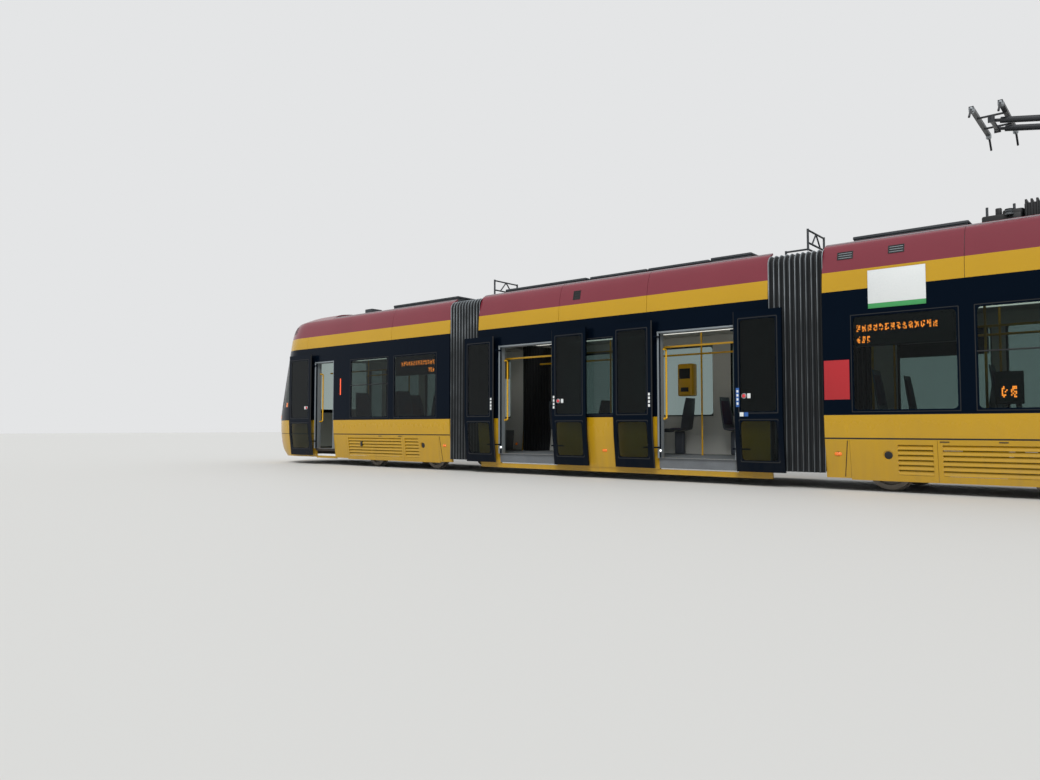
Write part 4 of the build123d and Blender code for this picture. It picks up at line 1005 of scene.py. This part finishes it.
# Blank white sign with a green foot, and a bare red panel, on the front section's door side
piece("blank_sign", "front", SIGN, [case((4.27, 4.98), (-1.183, -1.176), (2.495, 2.945), 0.003)])
piece("sign_foot", "front", GREEN, [case((4.27, 4.98), (-1.1832, -1.176), (2.430, 2.495), 0.003)])
piece("bare_red_panel", "front", coach_enamel("red_panel_film", "B5242B", "AB2027", (0.1, 0.02), 0.2),
      [case((3.67, 4.01), (-1.178, -1.170), (1.22, 1.76), 0.002)])


def roof_vents(openings, z):
    """Black vent frames on the fairing, each with three blades, one above another, and a dark back that is
    painted shade for the hollow behind them.
    """
    frames, blades, backs = [], [], []
    for a, b in openings:
        half = form(np.array([z[0], z[1]]))[0]
        corners = np.array([[a, -half[0], z[0]], [b, -half[0], z[0]],
                            [b, -half[1], z[1]], [a, -half[1], z[1]]])
        shrink = corners.mean(0) + (corners - corners.mean(0)) * 0.86
        out = np.array([0, -0.006, 0])
        frames.append(ring([corners, corners + out, shrink + out, shrink]))
        backs.append((corners + out * 0.4, [[0, 1, 2, 3]]))
        for t in (0.2, 0.5, 0.8):
            y = -(half[0] + (half[1] - half[0]) * t)
            level = z[0] + (z[1] - z[0]) * t
            blades.append(case((a + 0.015, b - 0.015), (y - 0.004, y + 0.012), (level - 0.010, level + 0.004),
                               0.002, axis=0))
    return frames, blades, backs


frames, blades, backs = roof_vents([(3.86, 4.07), (4.52, 4.72)], (3.15, 3.26))
piece("front_roof_vents", "front", PLASTIC, frames)
piece("front_vent_blades", "front", PORTAL, blades)
# The dark backs are painted shade, standing for the hollows behind the blades
piece("front_vent_backs", "front", SEAL, backs, solid=False)
frames, blades, backs = roof_vents([(-0.645, -0.495)], (3.07, 3.23))
on_middle("roof_vent", PLASTIC, frames + blades)
# Its dark back is painted shade for the hollow behind the blades
on_middle("vent_back", SEAL, backs, solid=False)


# Destination displays behind the glass

def led_rows(x, z, rows, columns, seed, y=-1.1605):
    """A panel's lit cells: squares lit by seeded chance in blocks four wide, two dark columns between."""
    chance = np.random.default_rng(seed)
    lit = chance.random((rows, columns)) < 0.56
    lit[:, 4::6] = lit[:, 5::6] = False
    r, c = np.nonzero(lit)
    pitch_x, pitch_z = (x[1] - x[0]) / columns, (z[1] - z[0]) / rows
    centre = np.stack([x[0] + (c + 0.5) * pitch_x, 0 * c + y, z[0] + (r + 0.5) * pitch_z], axis=1)
    size = 0.40 * np.array([pitch_x, 0, pitch_z])
    corners = centre[:, None] + size * np.array([(-1, 0, -1), (1, 0, -1), (1, 0, 1), (-1, 0, 1)])
    return corners.reshape(-1, 3), np.arange(4 * len(r)).reshape(-1, 4).tolist()


led_case = case((FACE + 0.42, FACE + 1.64), (-1.158, -1.06), (1.93, 2.34), 0.01)
at_both_ends("display_housings", PLASTIC, both_sides([led_case]))
cells = [led_rows((FACE + 0.45, FACE + 1.44), (2.130, 2.22), 7, 82, 3),
         led_rows((FACE + 0.45, FACE + 0.62), (1.975, 2.065), 7, 15, 5)]
at_both_ends("display_cells", LED, both_sides(cells), solid=False)
number_case = case((FACE + 2.05, FACE + 2.35), (-1.150, -1.10), (1.12, 1.52), 0.01)
piece("front_line_display", "front", PLASTIC, [number_case])
cells = led_rows((FACE + 2.12, FACE + 2.28), (1.20, 1.34), 7, 10, 9, y=-1.1525)
piece("front_line_cells", "front", LED, [cells], solid=False)


# Bright lips along the tops of the fairings: a painted highlight where light catches their rounded edge

def highlight_lip(x):
    """A bright lip along the top edge of a roof fairing, between two places along X: a painted highlight."""
    y = -form(np.array([HIGHLIGHT_LIP_Z]))[0][0] - 0.001
    ends = np.linspace(*x, 9)
    return tube(np.stack([ends, np.full(9, y), np.full(9, HIGHLIGHT_LIP_Z)], axis=1), 0.007, 8)


on_each("highlight_lips", ALUMINIUM, both_sides([highlight_lip((FACE + 0.01, FACE + TRAY_END))]),
        both_sides([highlight_lip((a + 0.004, b - 0.004)) for a, b in zip(cuts, cuts[1:])]))


# Bare labels beside the doorways, step lights and jamb rails

def label(x, z, width, height, y):
    """A bare plate 1.5 mm thick, centred on a place."""
    return case((x - width / 2, x + width / 2), (y - 0.0015, y), (z - height / 2, z + height / 2), 0.0007,
                axis=0)


LEAF_FACE = -(HALF + LEAF_OUT) - 0.0005
column = [1.19, 1.25, 1.31, 1.37]
last = MIDDLE_LEAVES[3][0]
edges = (MIDDLE_LEAVES[0][1] - 0.035, MIDDLE_LEAVES[1][0] + 0.04, MIDDLE_LEAVES[2][1] - 0.035)
white = [label(x, z, 0.035, 0.042, LEAF_FACE) for x in edges for z in column]
white += [label(MIDDLE_LEAVES[k][0] + 0.225, 1.30, 0.05, 0.07, LEAF_FACE) for k in (1, 3)]
white += [label(last + 0.11, 1.03, 0.06, 0.06, LEAF_FACE)]
white += [label(last + 0.05, z, 0.03, 0.035, LEAF_FACE - 0.002) for z in column]
on_middle("white_labels", SIGN, white)
blue = [label(last + x, z, width, height, LEAF_FACE) for x, z, width, height in
        ((0.05, 1.28, 0.052, 0.28), (0.18, 1.03, 0.06, 0.06))]
on_middle("blue_labels", BLUE, blue)
at_both_ends("button_label", SIGN, [label(FACE + END_LEAF[0] + 0.19, 1.30, 0.05, 0.07, LEAF_FACE)])


def jamb_rail(x):
    """A yellow grab rail standing off a doorway's jamb, bent back to it at both ends."""
    path = [(x, -1.05, 0.98), (x, -0.97, 0.98), (x, -0.97, 2.10), (x, -1.05, 2.10)]
    return tube(bent(path, 0.04), 0.016, 12)


def step_lamp(x):
    """A small round lamp low on a doorway's jamb."""
    profile = [(0, -0.004), (0.024, -0.004), (0.024, 0.004), (0.016, 0.008), (0, 0.009)]
    return turned(profile, (x, -1.13, 0.47), (1, 0, 0), 20)


for k, (a, b) in enumerate(MIDDLE_DOORS):
    on_middle(f"jamb_rails_{k}", HANDRAIL, [jamb_rail(a + 0.06), jamb_rail(b - 0.06)])
    on_middle(f"step_lamp_{k}", GLOW_WHITE, [step_lamp(a + 0.036)])
rails = [jamb_rail(FACE + END_DOOR[0] + 0.06), jamb_rail(FACE + END_DOOR[1] - 0.06)]
at_both_ends("jamb_rails", HANDRAIL, rails)
at_both_ends("step_lamp", GLOW_WHITE, [step_lamp(FACE + END_DOOR[0] + 0.036)])


# Saloon: light strips under the ceiling, and a ticket box with its two dark panels

def light_strips(a, b):
    """Two flat strips of light under the ceiling, one to each side of the aisle, between two places in X."""
    return [case((a, b), (y - 0.04, y + 0.04), (CEILING - 0.012, CEILING - 0.002), 0.004, axis=0)
            for y in (-0.42, 0.42)]


on_each("ceiling_lights", LIGHT, light_strips(FACE + 0.3, FACE + 4.9), light_strips(-2.7, 2.7))
ticket = [case((0.28, 0.60), (0.86, 1.08), (1.42, 2.02), 0.03),
          case((0.40, 0.48), (1.05, 1.12), (1.5, 1.9), 0.01)]
piece("ticket_box", "middle", HANDRAIL, ticket)
screens = [case((0.33, 0.55), (0.852, 0.87), (1.74, 1.93), 0.006),
           case((0.36, 0.52), (0.854, 0.87), (1.50, 1.58), 0.005)]
piece("ticket_box_panels", "middle", PLASTIC, screens)


# Nose trim: yellow lines round the windscreen, its printed border, the display, a lining and a wiper
trim = both_sides([nose_ribbon((1.200, BAND_TOP), (SCREEN_HALF + 0.040, SCREEN_HALF + 0.008), 0.003),
                   nose_ribbon((1.200, 1.228), (SCREEN_HALF + 0.040, 0.001), 0.003, 3, 30),
                   nose_ribbon((1.172, 1.202), (PANEL_HALF, 0.001), 0.002, 3, 16)])
at_both_ends("windscreen_trim", YELLOW, trim, wall=0.006, slot="yellow_paint")
border = both_sides([nose_ribbon((1.236, 2.944), (SCREEN_HALF, SCREEN_HALF - 0.05), -0.003),
                     nose_ribbon((1.236, 1.320), (SCREEN_HALF - 0.05, 0.001), -0.003, 5, 28),
                     nose_ribbon((2.900, 2.944), (SCREEN_HALF - 0.05, 0.001), -0.003, 3, 28)])
at_both_ends("windscreen_border", BLACK, border, wall=0.002)

sign_box = case((FACE + 5.50, FACE + 5.78), (-0.72, 0.72), (2.56, 2.86), 0.02)
at_both_ends("front_display_housing", PLASTIC, [sign_box])
cells, cell_faces = led_rows((-0.60, 0.60), (2.63, 2.79), 9, 70, 12)
cells = np.stack([np.full(len(cells), FACE + 5.785), cells[:, 0], cells[:, 2]], axis=1)
at_both_ends("front_display_cells", LED, [(cells, cell_faces)], solid=False)

z = heights(0, 5)
lining = flipped(sheet(skin(z[:, None], places(z), 0.036)))
at_both_ends("nose_lining", LAMINATE, [lining], solid=False)


def on_glass(z, y, off):
    """A point off the windscreen at a height and a place across."""
    point, normal = on_nose(z, y)
    return point + off * normal


wiper_arm = [on_glass(z, y, 0.035) for z, y in zip(np.linspace(1.19, 1.95, 9), np.linspace(0.42, 0.20, 9))]
blade = [on_glass(z, y, 0.018) for z, y in zip(np.linspace(1.45, 2.45, 11), np.linspace(0.36, 0.04, 11))]
point, normal = on_nose(1.19, 0.42)
hub = turned([(0, -0.01), (0.030, -0.01), (0.030, 0.030), (0.022, 0.045), (0, 0.047)], point, normal, 20)
at_both_ends("wiper", PLASTIC, [tube(wiper_arm, 0.008, 8), tube(blade, 0.007, 8), hub])

indicator = nose_ribbon((1.34, 1.44), (1.150, 1.135), 0.004, 4, 2)
at_both_ends("side_indicators", AMBER, both_sides([indicator]), wall=0.006)


def leaf_films(leaves, offset):
    """Darker film behind the upper pane of each leaf, the leaves counted along X from offset."""
    return [side_line(LEAF_PANE, (offset + a + LEAF_FRAME, offset + b - LEAF_FRAME), LEAF_OUT - 0.030)
            for a, b in leaves]


on_middle("leaf_films", LEAF_TINT, leaf_films(MIDDLE_LEAVES, 0), solid=False)
at_both_ends("leaf_film", LEAF_TINT, leaf_films([END_LEAF], FACE), solid=False)

# Roof boxes: lids with ribs, by the boxes' ends along X, half widths and tops
BOX_ROWS = {"front": [(3.96, 5.39, 0.70, 3.535)],
            "middle": [(-2.6, -0.7, 0.68, 3.535), (-0.59, 0.55, 0.68, 3.530), (0.61, 1.70, 0.68, 3.530),
                       (1.72, 2.385, 0.60, 3.565)],
            "rear": [(-5.89, -3.90, 0.70, 3.545), (-7.60, -6.20, 0.62, 3.480)]}
for body, rows in BOX_ROWS.items():
    lids, ribs = [], []
    for a, b, half, top in rows:
        lids.append(case((a - 0.012, b + 0.012), (-half - 0.012, half + 0.012), (top - 0.035, top + 0.006),
                         0.010))
        count = max(int((b - a) / 0.32), 2)
        ribs += [case((x - 0.03, x + 0.03), (0.08 - half, half - 0.08), (top + 0.003, top + 0.016), 0.006)
                 for x in np.linspace(a + 0.16, b - 0.16, count)]
    piece(f"{body}_roof_lids", body, HOUSING, lids + ribs)


# Passenger seats: a moulded shell on its foot, with a padded cushion and back

SEAT_PATH = bent([(0.428, 0, -0.045), (0.405, 0, 0.0), (0.045, 0, -0.012), (-0.045, 0, 0.575)], 0.045, 7)


def seat_surface(along, across):
    """Points on a seat's upper face: along from the front lip (0) to the head (1), across from -1 to 1.

    The sides rise as the square of across, and the width narrows towards the head.
    """
    steps = np.linalg.norm(np.diff(SEAT_PATH, axis=0), axis=1)
    at = np.concatenate([[0], np.cumsum(steps)]) / steps.sum()
    back, spine, front = [np.stack([np.interp(along + step, at, SEAT_PATH[:, k]) for k in (0, 2)], axis=-1)
                          for step in (-0.01, 0, 0.01)]
    ahead = front - back
    ahead /= np.linalg.norm(ahead, axis=-1, keepdims=True)
    normal = np.stack([ahead[..., 1], -ahead[..., 0]], axis=-1)
    half = 0.218 - 0.05 * np.clip((along - 0.55) / 0.45, 0, 1) ** 2
    raised = spine + normal * (0.022 * across ** 2)[..., None]
    points = np.stack([raised[..., 0], half * across, raised[..., 1]], axis=-1)
    return points, np.stack([normal[..., 0], 0 * half, normal[..., 1]], axis=-1)


def seat_pad(span, width, crown):
    """A crowned cushion on the seat's face: it falls to the rim as 1 minus a fourth power both ways."""
    u, v = np.meshgrid(np.linspace(-1, 1, 15), np.linspace(-1, 1, 15), indexing="ij")
    points, normal = seat_surface(span[0] + (span[1] - span[0]) * (u + 1) / 2,
                                  v * width * (1 - 0.05 * u ** 4))
    swell = 0.006 + crown * (1 - u ** 4) * (1 - v ** 4)
    upper, lower = points + normal * swell[..., None], points + normal * 0.001
    return capped(np.concatenate([upper, lower[:, ::-1]], axis=1))


u, v = np.meshgrid(np.linspace(0, 1, 26), np.linspace(-1, 1, 13), indexing="ij")
shell_top, shell_normal = seat_surface(u, v)
SEAT_SHELL = capped(np.concatenate([shell_top, (shell_top - 0.014 * shell_normal)[:, ::-1]], axis=1))
SEAT_PADS = [seat_pad((0.10, 0.40), 0.80, 0.030), seat_pad((0.50, 0.93), 0.78, 0.026)]
PAN = 0.45
SEAT_FOOT = case((0.10, 0.28), (-0.05, 0.05), (-0.44, -0.03), 0.015)
PODIUM_FOOT = case((0.10, 0.28), (-0.05, 0.05), (PODIUM + 0.005 - RAISED_FLOOR - PAN, -0.03), 0.015)


def seated(part, x, y, facing, pan):
    """A seat's part set down with its pan at a height, facing the cab (1) or away from it (-1)."""
    points, faces = part
    return points * (facing, 1, 1) + (x, y, pan), faces


end_rows = [(FACE + x, y, facing, RAISED_FLOOR + PAN)
            for x, facing in ((0.62, 1), (1.75, -1), (2.0, 1), (3.15, -1)) for y in (-0.81, 0.81)]
middle_rows = [(x, 0.80, facing, FLOOR + PAN) for x, facing in
               ((-2.52, 1), (-1.28, -1), (-0.56, 1), (0.56, -1), (1.28, 1), (2.52, -1))]
shells = [seated(part, *row) for row in end_rows for part in (SEAT_SHELL, PODIUM_FOOT)]
at_both_ends("seat_shells", SHELL, shells, sharp=50, replaces=["seats"])
shells = [seated(part, *row) for row in middle_rows for part in (SEAT_SHELL, SEAT_FOOT)]
on_middle("seat_shells", SHELL, shells, sharp=50, replaces=["middle_seats"])
for end in ("front", "rear", "middle"):
    rows = middle_rows if end == "middle" else end_rows
    pads = [seated(part, *row) for row in rows for part in SEAT_PADS]
    if end == "rear":
        pads = [over(part, axis=0) for part in pads]
    piece(f"{end}_seat_pads", end, MOQUETTE, pads, sharp=60)
driver = (FACE + 5.02, 0, 1, FLOOR + 0.48)
shell = [seated(part, *driver) for part in (SEAT_SHELL, SEAT_FOOT)]
piece("driver_seat_shell", "front", CAB_TRIM, shell, sharp=50, replaces=["front_driver_seat"])
pads = [seated(part, *driver) for part in SEAT_PADS]
piece("driver_seat_pads", "front", MOQUETTE, pads, sharp=60)


# Round the pantograph's foot: low trunking, a finned fuse box and isolator drums; sleeves on the upper arm

trunking = [case((5.53, 5.99), (-0.62, 0.62), (3.40, 3.575), 0.02),
            case((5.76, 6.00), (-0.58, 0.58), (3.50, 3.63), 0.02),
            case((6.98, 7.45), (-0.62, 0.62), (3.20, 3.44), 0.025),
            case((5.68, 5.75), (-0.56, -0.48), (3.56, 3.67), 0.01),
            case((6.01, 6.50), (-0.66, -0.49), (3.38, 3.66), 0.015)]
trunking += [case((6.02 + 0.06 * k, 6.045 + 0.06 * k), (-0.68, -0.48), (3.44, 3.70), 0.004) for k in range(8)]
trunking += [over(part) for part in trunking[3:]]
piece("pantograph_trunking", "front", PLASTIC, trunking)
DRUM = [(0, 0), (0.050, 0), (0.050, 0.02), (0.038, 0.03), (0.050, 0.045), (0.038, 0.06), (0.050, 0.075),
        (0, 0.08)]
drums = [turned(DRUM, (x, y, 3.535), (0, 0, 1), 24) for x, y in ((5.85, -0.665), (5.85, 0.665))]
piece("isolator_drums", "front", INSULATOR, drums)
sleeve_line = np.linspace((8.24, 0, 4.452), (5.72, 0, 4.941), 9)
sleeves = [tube(sleeve_line + (0, y, 0), 0.042, 14) for y in (-0.187, 0.187)]
piece("upper_arm_sleeves", "panto_upper", ARM_PAINT, sleeves)
caps = [case((x - 0.034, x + 0.034), sorted((way * 0.565, way * 0.662)), (4.972, 5.047), 0.02)
        for x in (5.455, 5.785) for way in (-1, 1)]
piece("strip_end_caps", "panto_head", ALUMINIUM, caps)


# Stage, light and camera

bpy.ops.mesh.primitive_plane_add(size=240)
ground = bpy.context.object
ground.name = "studio_ground"
ground.data.materials.append(start("studio_floor", Base_Color=srgb("D9D7D2"), Roughness=0.7)[0])

world = bpy.data.worlds.new("studio_sky")
bpy.context.scene.world = world
world.use_nodes = True
tree = world.node_tree
tree.nodes.clear()
up = add(tree, "SeparateXYZ", {0: add(tree, "TexCoord").outputs["Generated"]})
rise = add(tree, "MapRange", {0: up.outputs[2], 1: -0.05, 2: 0.7})
sky = add(tree, "Mix", {0: rise, 6: srgb("7C8286"), 7: srgb("EEF2F7")}, data_type="RGBA")
lit = add(tree, "Background", {0: sky.outputs[2], 1: 0.9})
seen = add(tree, "Background", {0: srgb("E4E5E6"), 1: 1.0})
# The camera, panes and gloss see an even pale backdrop, and all else the graded sky that lights the tram
ray = add(tree, "LightPath")
through = add(tree, "Math", {0: ray.outputs["Is Camera Ray"], 1: ray.outputs["Is Transmission Ray"]},
              operation="MAXIMUM")
backdrop = add(tree, "Math", {0: through, 1: ray.outputs["Is Glossy Ray"]}, operation="MAXIMUM")
both = add(tree, "MixShader", {0: backdrop, 1: lit, 2: seen})
add(tree, "OutputWorld", {0: both})

sun = bpy.data.lights.new("key_light", "SUN")
sun.energy, sun.angle = 1.6, math.radians(22)
key = link("key_light", sun)
key.rotation_euler = Vector((-0.35, 0.75, -0.75)).to_track_quat("-Z", "Y").to_euler()

lens = bpy.data.cameras.new("photo_camera")
lens.lens, lens.sensor_width, lens.clip_end = 27.07, 36, 400
camera = link("photo_camera", lens)
heading, pitch = math.radians(50.03), math.radians(2.745)
ahead = Vector((-math.cos(heading) * math.cos(pitch), math.sin(heading) * math.cos(pitch), math.sin(pitch)))
camera.location = (7.391, -12.175, 0.860)
camera.rotation_euler = ahead.to_track_quat("-Z", "Y").to_euler()
bpy.context.scene.camera = camera
bpy.context.scene.view_settings.view_transform = "Standard"
